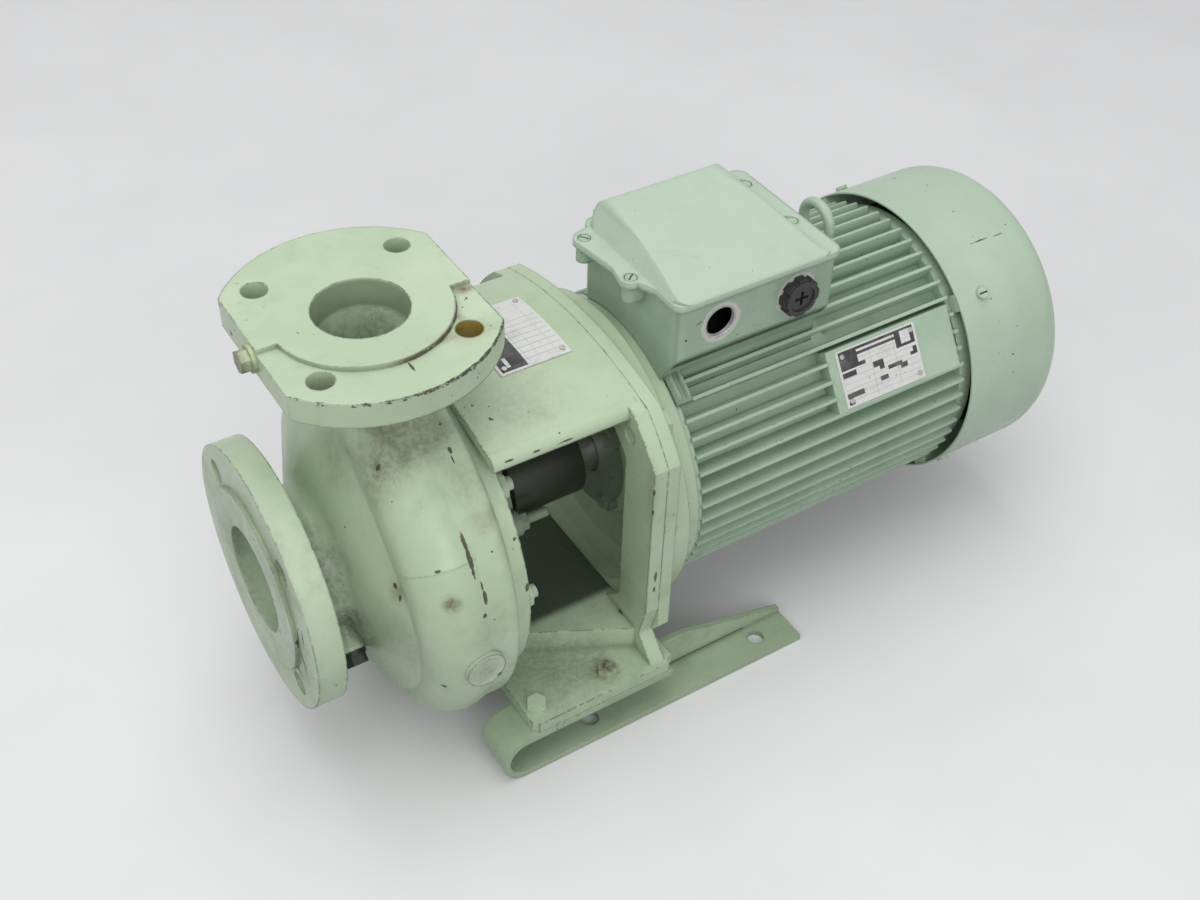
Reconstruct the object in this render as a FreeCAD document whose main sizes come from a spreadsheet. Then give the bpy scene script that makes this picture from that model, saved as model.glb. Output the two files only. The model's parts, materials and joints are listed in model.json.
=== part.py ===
import FreeCAD, Part
import Sketcher
import math
import os

# Close-coupled centrifugal pump with a flanged motor, all lengths in millimetres.
# Inside each piece, x runs along the shaft from the suction face towards the motor,
# the side that the cable entries face is -y, and z is measured up from the shaft axis.
# The pieces are then placed so that the origin is the centre of the four anchor
# holes on the base plane, with +X towards the motor and +Z up.

# Each row is a name, a value and what it is.
SIZES = (
    ("shaft_height", 160.0, "shaft axis above the base plane"),
    ("anchor_centre", 284.0, "suction face to the middle of the anchor holes"),
    ("suction_bore", 40.0, "radius of the suction port"),
    ("suction_flange", 100.0, "radius of the suction flange"),
    ("suction_thick", 24.0, "suction flange with its raised face"),
    ("suction_bolts", 80.0, "radius of the suction bolt circle"),
    ("raised_radius", 69.0, "radius of the raised face"),
    ("raised_face", 3.0, "height of the raised face"),
    ("port_bolt_hole", 9.0, "radius of the holes in both flanges"),
    ("neck_radius", 54.0, "outside of the suction neck"),
    ("neck_length", 50.0, "suction face to the end of the neck"),
    ("outlet_x", 100.0, "suction face to the outlet axis"),
    ("outlet_height", 200.0, "outlet face above the shaft"),
    ("outlet_bore", 32.5, "radius of the outlet port"),
    ("outlet_flange", 92.5, "radius of the outlet flange"),
    ("outlet_thick", 22.0, "outlet flange thickness"),
    ("outlet_bolts", 72.5, "radius of the outlet bolt circle"),
    ("outlet_flat", 75.0, "outlet axis to the flats on its sides"),
    ("outlet_step", 3.0, "depth of the unmachined part of the outlet face"),
    ("outlet_pad", 61.0, "radius of the machined ring on the outlet face"),
    ("outlet_neck", 37.5, "outside radius of the outlet neck"),
    ("outlet_relief", 1.5, "cast passage inside the machined outlet port"),
    ("casing_length", 137.0, "suction face to the back of the casing"),
    ("casing_radius", 118.0, "outside of the casing body"),
    ("belt_radius", 141.5, "outside of the casing's rear rim"),
    ("belt_width", 31.0, "width of the casing's rear rim"),
    ("belt_round", 8.0, "rounding of the rear rim"),
    ("volute_start", 15.0, "outside radius of the volute passage at the tongue"),
    ("volute_end", 32.0, "outside radius of the volute passage at the throat"),
    ("volute_wall", 10.0, "wall of the volute passage"),
    ("volute_near", 120.0, "shaft axis to the outside of the volute at the tongue"),
    ("volute_reach", 144.0, "shaft axis to the outside of the volute at its widest"),
    ("volute_back", 3.0, "volute centre behind the outlet axis before the throat"),
    ("passage_shift", 2.0, "passage centre ahead of the volute's centre"),
    ("chamber_radius", 88.0, "impeller chamber"),
    ("diffuser_radius", 104.0, "ring channel from the chamber into the volute"),
    ("cover_seat", 100.0, "radius of the cover's seat in the casing"),
    ("cover_seat_depth", 16.0, "depth of the cover's seat"),
    ("seat_clearance", 0.05, "radial clearance of located pieces"),
    ("gasket_thick", 1.0, "casing gasket"),
    ("cover_proud", 2.0, "cover behind the casing's back face"),
    ("eye_radius", 45.0, "outside of the impeller's eye ring"),
    ("eye_bore", 38.5, "inside of the impeller's eye"),
    ("ring_gap", 0.3, "impeller to wear ring, radial"),
    ("ring_radius", 52.0, "outside of the wear ring"),
    ("ring_front", 66.0, "suction face to the wear ring"),
    ("ring_width", 14.0, "width of the wear ring"),
    ("impeller_radius", 84.5, "impeller outside radius"),
    ("outlet_width", 12.0, "width between the shrouds at the rim"),
    ("shroud", 4.0, "impeller shroud thickness"),
    ("blade_thick", 4.0, "impeller blade thickness"),
    ("hub_radius", 24.0, "impeller hub"),
    ("journal_radius", 14.0, "stub shaft in the impeller"),
    ("sleeve_radius", 20.0, "stub shaft under the seal"),
    ("coupling_radius", 30.0, "stub shaft over the motor shaft"),
    ("motor_shaft_radius", 19.0, "motor shaft end"),
    ("shaft_end", 66.0, "motor shaft beyond the lantern's back face"),
    ("seal_chamber", 30.0, "radius of the seal chamber"),
    ("seal_house", 48.0, "outside of the seal housing"),
    ("seal_length", 36.0, "seal housing behind the cover"),
    ("gland_thick", 12.0, "gland plate"),
    ("gland_radius", 40.0, "gland plate radius"),
    ("gland_studs", 46.0, "gland stud from the shaft axis"),
    ("stud_circle", 110.0, "radius of the casing studs"),
    ("stud_radius", 5.0, "casing stud"),
    ("stud_depth", 12.0, "stud hole in the casing"),
    ("nut_height", 8.0, "casing stud nut"),
    ("nut_radius", 9.2, "casing stud nut across its corners, as a radius"),
    ("lantern_front_radius", 127.0, "lantern's front flange"),
    ("lantern_flange", 12.0, "thickness of the lantern's flanges"),
    ("lantern_length", 123.0, "lantern from face to face"),
    ("flange_radius", 150.0, "motor flange corners"),
    ("flange_side_cut", 24.0, "motor flange's sides inside its corner circle"),
    ("flange_top_cut", 20.0, "motor flange's top and bottom inside its corner circle"),
    ("flange_bolt_edge", 17.5, "motor flange bolts inside its corner circle"),
    ("crown_radius", 310.0, "curve of the lantern's top"),
    ("shell_half", 93.0, "lantern's top shell, axis to its edge"),
    ("shell_wall", 8.0, "wall of the top shell"),
    ("shell_lip", 9.0, "lip under the edge of the top shell"),
    ("spigot_edge", 35.0, "drive end shield's seat inside the flange's corner circle"),
    ("opening_step", 1.0, "lantern's rear opening inside that seat"),
    ("opening_side", 36.0, "lantern's side wall beside its rear opening"),
    ("floor_top", 88.0, "lantern's floor below the axis"),
    ("floor_thick", 8.0, "lantern's floor"),
    ("foot_thick", 10.0, "foot plate"),
    ("rail_height", 42.0, "height of the folded rail"),
    ("rail_strip", 5.5, "strip of the folded rail"),
    ("rail_width", 35.0, "width of the rail"),
    ("rail_centre", 125.5, "axis to the middle of a rail"),
    ("rail_fold", 118.0, "suction face to the outside of the fold"),
    ("rail_end", 397.0, "suction face to the end of the rail"),
    ("rail_tongue", 268.0, "suction face to the end of the rail's upper leg"),
    ("anchor_spacing", 160.0, "anchor holes along the rail"),
    ("anchor_radius", 7.0, "anchor hole"),
    ("foot_bolt_front", 156.0, "suction face to the front foot bolt"),
    ("foot_bolt_spacing", 62.0, "foot bolts along the rail"),
    ("bolt_radius", 6.0, "flange bolts"),
    ("foot_bolt_radius", 4.0, "foot bolts"),
    ("foot_bolt_corner", 8.0, "foot bolt head across its corners, as a radius"),
    ("foot_bolt_head", 5.5, "height of a foot bolt head"),
    ("bolt_clearance", 0.6, "radial clearance of bolts in their holes"),
    ("bolt_head", 7.5, "height of a bolt head"),
    ("bolt_corner", 10.6, "bolt head across its corners, as a radius"),
    ("motor_flange", 10.0, "thickness of the motor flange"),
    ("rim_edge", 25.0, "round rim of the drive end shield inside the corner circle"),
    ("collar_edge", 9.0, "collar of the drive end shield inside its rim"),
    ("shield_depth", 38.0, "lantern's back face to the motor frame"),
    ("frame_length", 260.0, "motor frame"),
    ("core_radius", 92.0, "outside of the stator core"),
    ("frame_wall", 9.0, "wall of the motor frame"),
    ("fin_radius", 115.5, "tips of the cooling fins"),
    ("fin_root", 4.6, "fin thickness at its root"),
    ("fin_tip", 2.8, "fin thickness at its tip"),
    ("land_distance", 113.0, "axis to the nameplate's flat land"),
    ("land_width", 50.0, "width of the nameplate's land"),
    ("bearing_outer", 40.0, "bearing outside radius"),
    ("bearing_bore", 20.0, "bearing bore radius"),
    ("bearing_width", 18.0, "bearing width"),
    ("ball_circle", 30.0, "radius of the ball circle"),
    ("ball_radius", 5.3, "bearing ball"),
    ("race_gap", 0.3, "ball to race"),
    ("hub_wall", 12.0, "wall round a bearing"),
    ("rotor_radius", 56.5, "rotor core"),
    ("air_gap", 0.5, "rotor to stator"),
    ("rotor_shaft", 24.0, "shaft in the rotor core"),
    ("core_length", 140.0, "stator and rotor cores"),
    ("core_start", 45.0, "motor frame's front to the cores"),
    ("cowl_radius", 122.3, "fan cowl"),
    ("cowl_length", 106.0, "fan cowl"),
    ("cowl_sheet", 1.5, "sheet of the fan cowl"),
    ("cowl_gap", 2.0, "motor frame to the fan cowl"),
    ("cowl_round", 25.0, "shoulder of the fan cowl"),
    ("fan_radius", 104.0, "fan"),
    ("fan_shaft", 17.0, "shaft in the fan"),
    ("box_front", 297.0, "suction face to the terminal box"),
    ("box_length", 140.0, "terminal box along the motor"),
    ("box_near", 77.0, "axis to the box's wall with the entries"),
    ("box_far", 45.0, "axis to the box's other wall"),
    ("box_top", 168.0, "shaft axis to the box's rim"),
    ("box_bottom", 128.0, "shaft axis to the box's lower edge"),
    ("box_wall", 4.0, "wall of the terminal box"),
    ("lid_rim", 5.0, "rim of the lid"),
    ("lid_top", 197.0, "shaft axis to the top of the lid"),
    ("lid_lip", 2.0, "lid past the box's walls"),
    ("entry_radius", 12.5, "cable entry"),
    ("entry_height", 149.0, "cable entry above the shaft axis"),
    ("entry_spacing", 66.0, "cable entries along the box"),
    ("eye_station", 481.0, "suction face to the lifting eye"),
)


class Size:
    """A length with its value and the spreadsheet formula that gives it."""

    def __init__(self, value, formula):
        self.value = float(value)
        self.formula = formula

    def __add__(self, other):
        return Size(self.value + number(other), f"({self.formula} + {formula(other)})")

    def __radd__(self, other):
        return Size(number(other) + self.value, f"({formula(other)} + {self.formula})")

    def __sub__(self, other):
        return Size(self.value - number(other), f"({self.formula} - {formula(other)})")

    def __rsub__(self, other):
        return Size(number(other) - self.value, f"({formula(other)} - {self.formula})")

    def __mul__(self, other):
        return Size(self.value * number(other), f"({self.formula} * {formula(other)})")

    def __rmul__(self, other):
        return Size(number(other) * self.value, f"({formula(other)} * {self.formula})")

    def __truediv__(self, other):
        return Size(self.value / number(other), f"({self.formula} / {formula(other)})")

    def __neg__(self):
        return Size(-self.value, f"(-{self.formula})")


def number(size):
    return size.value if isinstance(size, Size) else float(size)


def formula(size):
    return size.formula if isinstance(size, Size) else f"({float(size)!r})"


def root(size):
    """Square root of a size."""
    return Size(math.sqrt(number(size)), f"sqrt({formula(size)})")


class Table:
    """The driving dimensions by name."""


doc = FreeCAD.newDocument("CentrifugalPump")
sheet = doc.addObject("Spreadsheet::Sheet", "Sizes")
s = Table()
for row, (name, value, note) in enumerate(SIZES, start=1):
    sheet.set(f"A{row}", name)
    sheet.set(f"B{row}", str(value))
    sheet.set(f"C{row}", note)
    sheet.setAlias(f"B{row}", name)
    setattr(s, name, Size(value, f"Sizes.{name}"))
doc.recompute()

NODES = []
PLACED_SHAPES = ("Part::Box", "Part::Cylinder", "Part::Prism")
ALONG_X = FreeCAD.Rotation(FreeCAD.Vector(0, 1, 0), 90)
ALONG_Y = FreeCAD.Rotation(FreeCAD.Vector(1, 0, 0), -90)
UPRIGHT = FreeCAD.Rotation()
QUARTERS = (45, 135, 225, 315)

# Binding and placing


def bind(obj, path, size):
    """Tie a property to the spreadsheet, or set it where it is a plain number."""
    if isinstance(size, Size):
        obj.setExpression(path, size.formula)
    elif path.isalnum():
        setattr(obj, path, size)


def put(obj, x=0.0, y=0.0, z=0.0, rotation=UPRIGHT):
    """Place an object, with each coordinate tied to the spreadsheet."""
    obj.Placement = FreeCAD.Placement(FreeCAD.Vector(number(x), number(y), number(z)), rotation)
    for path, size in (("Placement.Base.x", x), ("Placement.Base.y", y), ("Placement.Base.z", z)):
        if isinstance(size, Size):
            bind(obj, path, size)
    return obj


def node(obj, label):
    """Finish a sub-part: its name and its place in the pump."""
    if obj.TypeId in PLACED_SHAPES:
        obj = group(obj)
    obj.Label = label
    put(obj, -s.anchor_centre, 0.0, s.shaft_height)
    NODES.append(obj)
    return obj


# Primitives and booleans


def cylinder(radius, length, x=0.0, y=0.0, z=0.0, rotation=ALONG_X):
    obj = doc.addObject("Part::Cylinder", "Round")
    bind(obj, "Radius", radius)
    bind(obj, "Height", length)
    return put(obj, x, y, z, rotation)


def block(length, width, height, x=0.0, y=0.0, z=0.0, rotation=UPRIGHT):
    obj = doc.addObject("Part::Box", "Block")
    bind(obj, "Length", length)
    bind(obj, "Width", width)
    bind(obj, "Height", height)
    return put(obj, x, y, z, rotation)


def hexagon(corner, height, x=0.0, y=0.0, z=0.0, rotation=ALONG_X):
    obj = doc.addObject("Part::Prism", "Hexagon")
    obj.Polygon = 6
    bind(obj, "Circumradius", corner)
    bind(obj, "Height", height)
    return put(obj, x, y, z, rotation)


def ball(radius, x=0.0, y=0.0, z=0.0):
    obj = doc.addObject("Part::Sphere", "Ball")
    bind(obj, "Radius", radius)
    return put(obj, x, y, z)


def fuse(*parts):
    obj = doc.addObject("Part::MultiFuse", "Joined")
    obj.Shapes = list(parts)
    return obj


def cut(base, *tools):
    obj = doc.addObject("Part::Cut", "Trimmed")
    obj.Base = base
    obj.Tool = tools[0] if len(tools) == 1 else group(*tools)
    return obj


def common(*parts):
    obj = doc.addObject("Part::MultiCommon", "Shared")
    obj.Shapes = list(parts)
    return obj


def group(*parts):
    obj = doc.addObject("Part::Compound", "Group")
    obj.Links = list(parts)
    return obj


def tube(outer, inner, length, x=0.0):
    return cut(cylinder(outer, length, x), cylinder(inner, length + 2.0, x - 1.0))


# Bodies with sketches


def new_body(name="Body"):
    return doc.addObject("PartDesign::Body", name)


def origin_item(body, role):
    for item in body.Origin.OriginFeatures:
        if item.Role == role:
            return item
    raise RuntimeError("no origin item " + role)


def new_sketch(body, role, station=0.0, shift=(0.0, 0.0), tilt=0.0):
    """A sketch on one of the body's own planes, moved along its normal and tilted about x."""
    sketch = body.newObject("Sketcher::SketchObject", "Sketch")
    sketch.AttachmentSupport = [(origin_item(body, role), "")]
    sketch.MapMode = "FlatFace"
    base = FreeCAD.Vector(number(shift[0]), number(shift[1]), number(station))
    sketch.AttachmentOffset = FreeCAD.Placement(base, FreeCAD.Rotation(FreeCAD.Vector(1, 0, 0), tilt))
    for path, size in (("x", shift[0]), ("y", shift[1]), ("z", station)):
        bind(sketch, "AttachmentOffset.Base." + path, size)
    return sketch


def fix_point(sketch, geometry, corner, u, v):
    """Hold a point of a sketch at sizes measured from the sketch's origin."""
    for kind, size, axis in (("DistanceX", u, -2), ("DistanceY", v, -1)):
        if not isinstance(size, Size) and size == 0.0:
            sketch.addConstraint(Sketcher.Constraint("PointOnObject", geometry, corner, axis))
            continue
        rule = Sketcher.Constraint(kind, -1, 1, geometry, corner, number(size))
        index = sketch.addConstraint(rule)
        bind(sketch, f"Constraints[{index}]", size)


def arc_between(start, end, radius):
    """The smaller arc from start to end: anticlockwise for a positive radius."""
    dx, dy = end[0] - start[0], end[1] - start[1]
    span = math.hypot(dx, dy)
    rise = math.sqrt(max(radius * radius - span * span / 4.0, 0.0))
    side = 1.0 if radius > 0 else -1.0
    centre = FreeCAD.Vector((start[0] + end[0]) / 2 - side * dy / span * rise,
                            (start[1] + end[1]) / 2 + side * dx / span * rise, 0)
    circle = Part.Circle(centre, FreeCAD.Vector(0, 0, 1), abs(radius))
    first, last = (start, end) if radius > 0 else (end, start)
    low = math.atan2(first[1] - centre.y, first[0] - centre.x)
    high = math.atan2(last[1] - centre.y, last[0] - centre.x)
    return Part.ArcOfCircle(circle, low, high)


def draw_outline(sketch, points):
    """Close an outline. A third value in a point is the radius of the arc that leads to it."""
    count = len(points)
    first = sketch.GeometryCount
    ends = []
    for index in range(count):
        start, end = points[index], points[(index + 1) % count]
        a = (number(start[0]), number(start[1]))
        b = (number(end[0]), number(end[1]))
        if len(end) == 3:
            line = sketch.addGeometry(arc_between(a, b, number(end[2])), False)
            ends.append((1, 2) if number(end[2]) > 0 else (2, 1))
        else:
            line = sketch.addGeometry(
                Part.LineSegment(FreeCAD.Vector(*a, 0), FreeCAD.Vector(*b, 0)), False)
            ends.append((1, 2))
    for index in range(count):
        following = (index + 1) % count
        sketch.addConstraint(Sketcher.Constraint(
            "Coincident", first + index, ends[index][1], first + following, ends[following][0]))
    for index in range(count):
        fix_point(sketch, first + index, ends[index][0], points[index][0], points[index][1])
        target = points[(index + 1) % count]
        if len(target) == 3:
            radius = target[2] if number(target[2]) > 0 else -target[2]
            rule = sketch.addConstraint(Sketcher.Constraint("Radius", first + index, number(radius)))
            bind(sketch, f"Constraints[{rule}]", radius)


def draw_circle(sketch, u, v, radius):
    circle = Part.Circle(FreeCAD.Vector(number(u), number(v), 0), FreeCAD.Vector(0, 0, 1),
                         number(radius))
    geometry = sketch.addGeometry(circle, False)
    fix_point(sketch, geometry, 3, u, v)
    rule = sketch.addConstraint(Sketcher.Constraint("Radius", geometry, number(radius)))
    bind(sketch, f"Constraints[{rule}]", radius)


def turn(body, points, kind="PartDesign::Revolution"):
    """Turn an outline of (x, radius) points about the shaft axis."""
    sketch = new_sketch(body, "XZ_Plane")
    draw_outline(sketch, points)
    feature = body.newObject(kind, "Turned")
    feature.Profile = (sketch, [""])
    feature.ReferenceAxis = (sketch, ["H_Axis"])
    feature.Angle = 360
    return feature


def pad(body, sketch, length):
    feature = body.newObject("PartDesign::Pad", "Pad")
    feature.Profile = (sketch, [""])
    bind(feature, "Length", length)
    return feature


def pocket(body, sketch, depth):
    """Cut from the sketch against its normal."""
    feature = body.newObject("PartDesign::Pocket", "Pocket")
    feature.Profile = (sketch, [""])
    bind(feature, "Length", depth)
    return feature


def repeat(body, feature, count):
    """Repeat a feature evenly round the shaft axis."""
    pattern = body.newObject("PartDesign::PolarPattern", "Pattern")
    pattern.Originals = [feature]
    pattern.Axis = (origin_item(body, "X_Axis"), [""])
    pattern.Angle = 360
    pattern.Occurrences = count
    body.Tip = pattern
    return pattern


def turned(points):
    body = new_body()
    turn(body, points)
    return body


def plate(role, points, start, thick):
    """A body padded from one outline."""
    body = new_body()
    sketch = new_sketch(body, role, start)
    draw_outline(sketch, points)
    pad(body, sketch, thick)
    return body


def polar(radius, degrees):
    """Coordinates (y, z) of a point round the shaft, from the top towards the viewer."""
    return -radius * math.sin(math.radians(degrees)), radius * math.cos(math.radians(degrees))


# Sizes that follow from the table

s.flange_half = s.flange_radius - s.flange_side_cut
s.flange_top = s.flange_radius - s.flange_top_cut
s.flange_bolts = s.flange_radius - s.flange_bolt_edge
s.spigot_radius = s.flange_radius - s.spigot_edge
s.opening_radius = s.spigot_radius - s.opening_step
s.opening_half = s.flange_half - s.opening_side
s.rim_radius = s.flange_radius - s.rim_edge
s.collar_radius = s.rim_radius - s.collar_edge

# Stations along the shaft, from the suction face

cover_rear = s.casing_length + s.cover_proud
cover_front = s.casing_length - s.cover_seat_depth + s.gasket_thick
lantern_front = cover_rear
lantern_rear = lantern_front + s.lantern_length
flange_rear = lantern_rear + s.motor_flange
frame_front = lantern_rear + s.shield_depth
frame_rear = frame_front + s.frame_length
gland_front = cover_rear + s.seal_length
coupling_front = gland_front + s.gland_thick + 4.0
coupling_rear = lantern_rear - 6.0
wheel_front = s.outlet_x - s.outlet_width / 2
wheel_rear = wheel_front + s.outlet_width
hub_rear = wheel_rear + s.shroud + 9.0
hub_front = s.ring_front + 18.0
base_level = -s.shaft_height
foot_top = base_level + s.rail_height + s.foot_thick
rail_top = base_level + s.rail_height
core_front = frame_front + s.core_start
drive_bearing = frame_front - 16.0
fan_bearing = frame_rear - 6.0
cowl_front = frame_rear + s.cowl_gap
cowl_rear = cowl_front + s.cowl_length
fan_front = cowl_front + 48.0
box_rear = s.box_front + s.box_length

SPIRAL_STEPS = 8
SPIRAL_FROM = -20.0
SPIRAL_TO = -300.0
THROAT_STEP = 0.25


# Volute casing


def spiral(body, kind, shrink, shift):
    """The volute as a loft of growing circles round the shaft."""
    sketches = []
    for step in range(SPIRAL_STEPS + 1):
        share = step / SPIRAL_STEPS
        angle = SPIRAL_FROM + (SPIRAL_TO - SPIRAL_FROM) * share
        sketch = new_sketch(body, "XZ_Plane", tilt=angle)
        outside = s.volute_start + (s.volute_end - s.volute_start) * share
        reach = s.volute_near + (s.volute_reach - s.volute_near) * min(1.0, share / 0.75)
        back = s.volute_back * min(1.0, (1.0 - share) / 0.25)
        draw_circle(sketch, s.outlet_x + back - shift, reach - outside, outside - shrink)
        sketches.append(sketch)
    loft = body.newObject(kind, "Spiral")
    loft.Profile = (sketches[0], [""])
    loft.Sections = [(item, [""]) for item in sketches[1:]]
    return loft


def outlet_neck(body, kind, shrink, x, end_radius, overlap):
    """The swan neck from the volute's throat to the outlet flange."""
    reach = s.volute_reach - s.volute_end
    lift = s.outlet_height - s.outlet_thick
    start_y, start_z = reach * 0.866, reach * 0.5
    # Each row is the share of the widening, the side offset, the height and the tilt of a section.
    rows = (
        (0.0, start_y, start_z, 60.0),
        (0.06, reach * 0.53, start_z * 0.66 + lift * 0.32, 52.0),
        (0.2, reach * 0.18, start_z * 0.26 + lift * 0.66, 70.0),
        (1.0, 0.0, lift + overlap, 90.0),
    )
    sketches = []
    for share, side, height, tilt in rows:
        sketch = new_sketch(body, "XZ_Plane", station=side, shift=(0.0, height), tilt=tilt)
        radius = (s.volute_end - shrink + THROAT_STEP) * (1.0 - share) + end_radius * share
        draw_circle(sketch, x + (s.outlet_x - x) * share, 0.0, radius)
        sketches.append(sketch)
    loft = body.newObject(kind, "Neck")
    loft.Profile = (sketches[0], [""])
    loft.Sections = [(item, [""]) for item in sketches[1:]]
    return loft


def volute_casing():
    body = new_body()
    belt_front = s.casing_length - s.belt_width
    turn(body, [
        (0.0, 0.0), (0.0, s.raised_radius), (s.raised_face, s.raised_radius),
        (s.raised_face, s.suction_flange), (s.suction_thick, s.suction_flange),
        (s.suction_thick, s.neck_radius + 6.0),
        (s.suction_thick + 6.0, s.neck_radius, 6.0),
        (s.neck_length - 12.0, s.neck_radius),
        (s.neck_length - 1.0, s.neck_radius + 7.3, 12.0),
        (s.neck_length + 20.0, s.casing_radius - 6.6),
        (s.neck_length + 30.0, s.casing_radius, -11.0),
        (belt_front, s.casing_radius), (belt_front, s.belt_radius),
        (s.casing_length - s.belt_round, s.belt_radius),
        (s.casing_length, s.belt_radius - s.belt_round, -s.belt_round),
        (s.casing_length, 0.0),
    ])
    spiral(body, "PartDesign::AdditiveLoft", 0.0, 0.0)
    outlet_neck(body, "PartDesign::AdditiveLoft", 0.0, s.outlet_x, s.outlet_neck, 4.0)
    # The outlet flange, with its face machined on the ring and on the far side only.
    flange = new_sketch(body, "XY_Plane", s.outlet_height - s.outlet_thick)
    draw_circle(flange, s.outlet_x, 0.0, s.outlet_flange)
    pad(body, flange, s.outlet_thick - s.outlet_step)
    ring = new_sketch(body, "XY_Plane", s.outlet_height - s.outlet_step)
    draw_circle(ring, s.outlet_x, 0.0, s.outlet_pad)
    pad(body, ring, s.outlet_step)
    edge = -8.0
    half = root(s.outlet_flange * s.outlet_flange - edge * edge)
    rear = new_sketch(body, "XY_Plane", s.outlet_height - s.outlet_step)
    draw_outline(rear, [
        (s.outlet_x - half, edge), (s.outlet_x + half, edge),
        (s.outlet_x, s.outlet_flange, s.outlet_flange),
        (s.outlet_x - s.outlet_flange, 0.0, s.outlet_flange),
    ])
    pad(body, rear, s.outlet_step)
    for side in (-1.0, 1.0):
        flat = new_sketch(body, "XY_Plane", s.outlet_height + 1.0)
        inner = s.outlet_x + s.outlet_flat * side
        outer = s.outlet_x + (s.outlet_flange + 5.0) * side
        draw_outline(flat, [(inner, -s.outlet_flange), (outer, -s.outlet_flange),
                            (outer, s.outlet_flange), (inner, s.outlet_flange)])
        pocket(body, flat, s.outlet_thick + 1.0)
    # The drain boss on the volute and the gauge boss under the suction neck.
    drain = new_sketch(body, "XZ_Plane", s.belt_radius - 34.0)
    draw_circle(drain, s.outlet_x + 5.5, -14.0, 14.5)
    pad(body, drain, 38.5)
    gauge = new_sketch(body, "XZ_Plane", 0.0, tilt=39.0)
    draw_circle(gauge, GAUGE_X, 0.0, GAUGE_BOSS)
    pad(body, gauge, s.neck_radius + GAUGE_STAND)
    # The hollow inside.
    turn(body, [
        (-1.0, 0.0), (-1.0, s.suction_bore), (s.ring_front, s.suction_bore),
        (s.ring_front, s.ring_radius), (s.ring_front + s.ring_width, s.ring_radius),
        (s.ring_front + s.ring_width, s.ring_radius + 14.0),
        (wheel_front - s.shroud - 4.0, s.chamber_radius),
        (s.casing_length - s.cover_seat_depth, s.chamber_radius),
        (s.casing_length - s.cover_seat_depth, s.cover_seat),
        (s.casing_length + 1.0, s.cover_seat), (s.casing_length + 1.0, 0.0),
    ], "PartDesign::Groove")
    turn(body, [
        (wheel_front - 3.0, s.chamber_radius - 2.0), (wheel_front - 1.0, s.diffuser_radius),
        (wheel_rear + 1.0, s.diffuser_radius), (wheel_rear + 3.0, s.chamber_radius - 2.0),
    ], "PartDesign::Groove")
    spiral(body, "PartDesign::SubtractiveLoft", s.volute_wall, s.passage_shift)
    outlet_neck(body, "PartDesign::SubtractiveLoft", s.volute_wall,
                s.outlet_x - s.passage_shift, s.outlet_bore - s.outlet_relief, 0.0)
    port = new_sketch(body, "XY_Plane", s.outlet_height + 1.0)
    draw_circle(port, s.outlet_x, 0.0, s.outlet_bore)
    pocket(body, port, s.outlet_thick + 1.0)
    holes = new_sketch(body, "XY_Plane", s.outlet_height + 1.0)
    for angle in QUARTERS:
        across, along = polar(s.outlet_bolts, angle)
        draw_circle(holes, s.outlet_x + along, across, s.port_bolt_hole)
    pocket(body, holes, s.outlet_thick + 2.0)
    holes = new_sketch(body, "YZ_Plane", s.suction_thick + 1.0)
    for angle in QUARTERS:
        draw_circle(holes, *polar(s.suction_bolts, angle), s.port_bolt_hole)
    pocket(body, holes, s.suction_thick + 2.0)
    holes = new_sketch(body, "YZ_Plane", s.casing_length + 1.0)
    for angle in range(0, 360, 45):
        draw_circle(holes, *polar(s.stud_circle, angle), s.stud_radius)
    pocket(body, holes, s.stud_depth + 1.0)
    plug_hole = new_sketch(body, "YZ_Plane", s.outlet_x - s.outlet_flat + OUTLET_PLUG_DEPTH)
    draw_circle(plug_hole, 0.0, s.outlet_height - s.outlet_thick / 2, OUTLET_PLUG)
    pocket(body, plug_hole, OUTLET_PLUG_DEPTH + 1.0)
    gauge_hole = new_sketch(body, "XZ_Plane", 0.0, tilt=39.0)
    draw_circle(gauge_hole, GAUGE_X, 0.0, GAUGE_PLUG)
    hole = pocket(body, gauge_hole, s.neck_radius + GAUGE_STAND + 1.0)
    hole.Reversed = True
    return body


# Tapping plugs: the gauge plug under the suction neck and the plug in the outlet flange.

GAUGE_X = s.suction_thick + 20.0
GAUGE_STAND = 20.0
GAUGE_BOSS = 10.0
GAUGE_PLUG = 7.0
OUTLET_PLUG = 6.5
OUTLET_PLUG_DEPTH = 12.0


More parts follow.
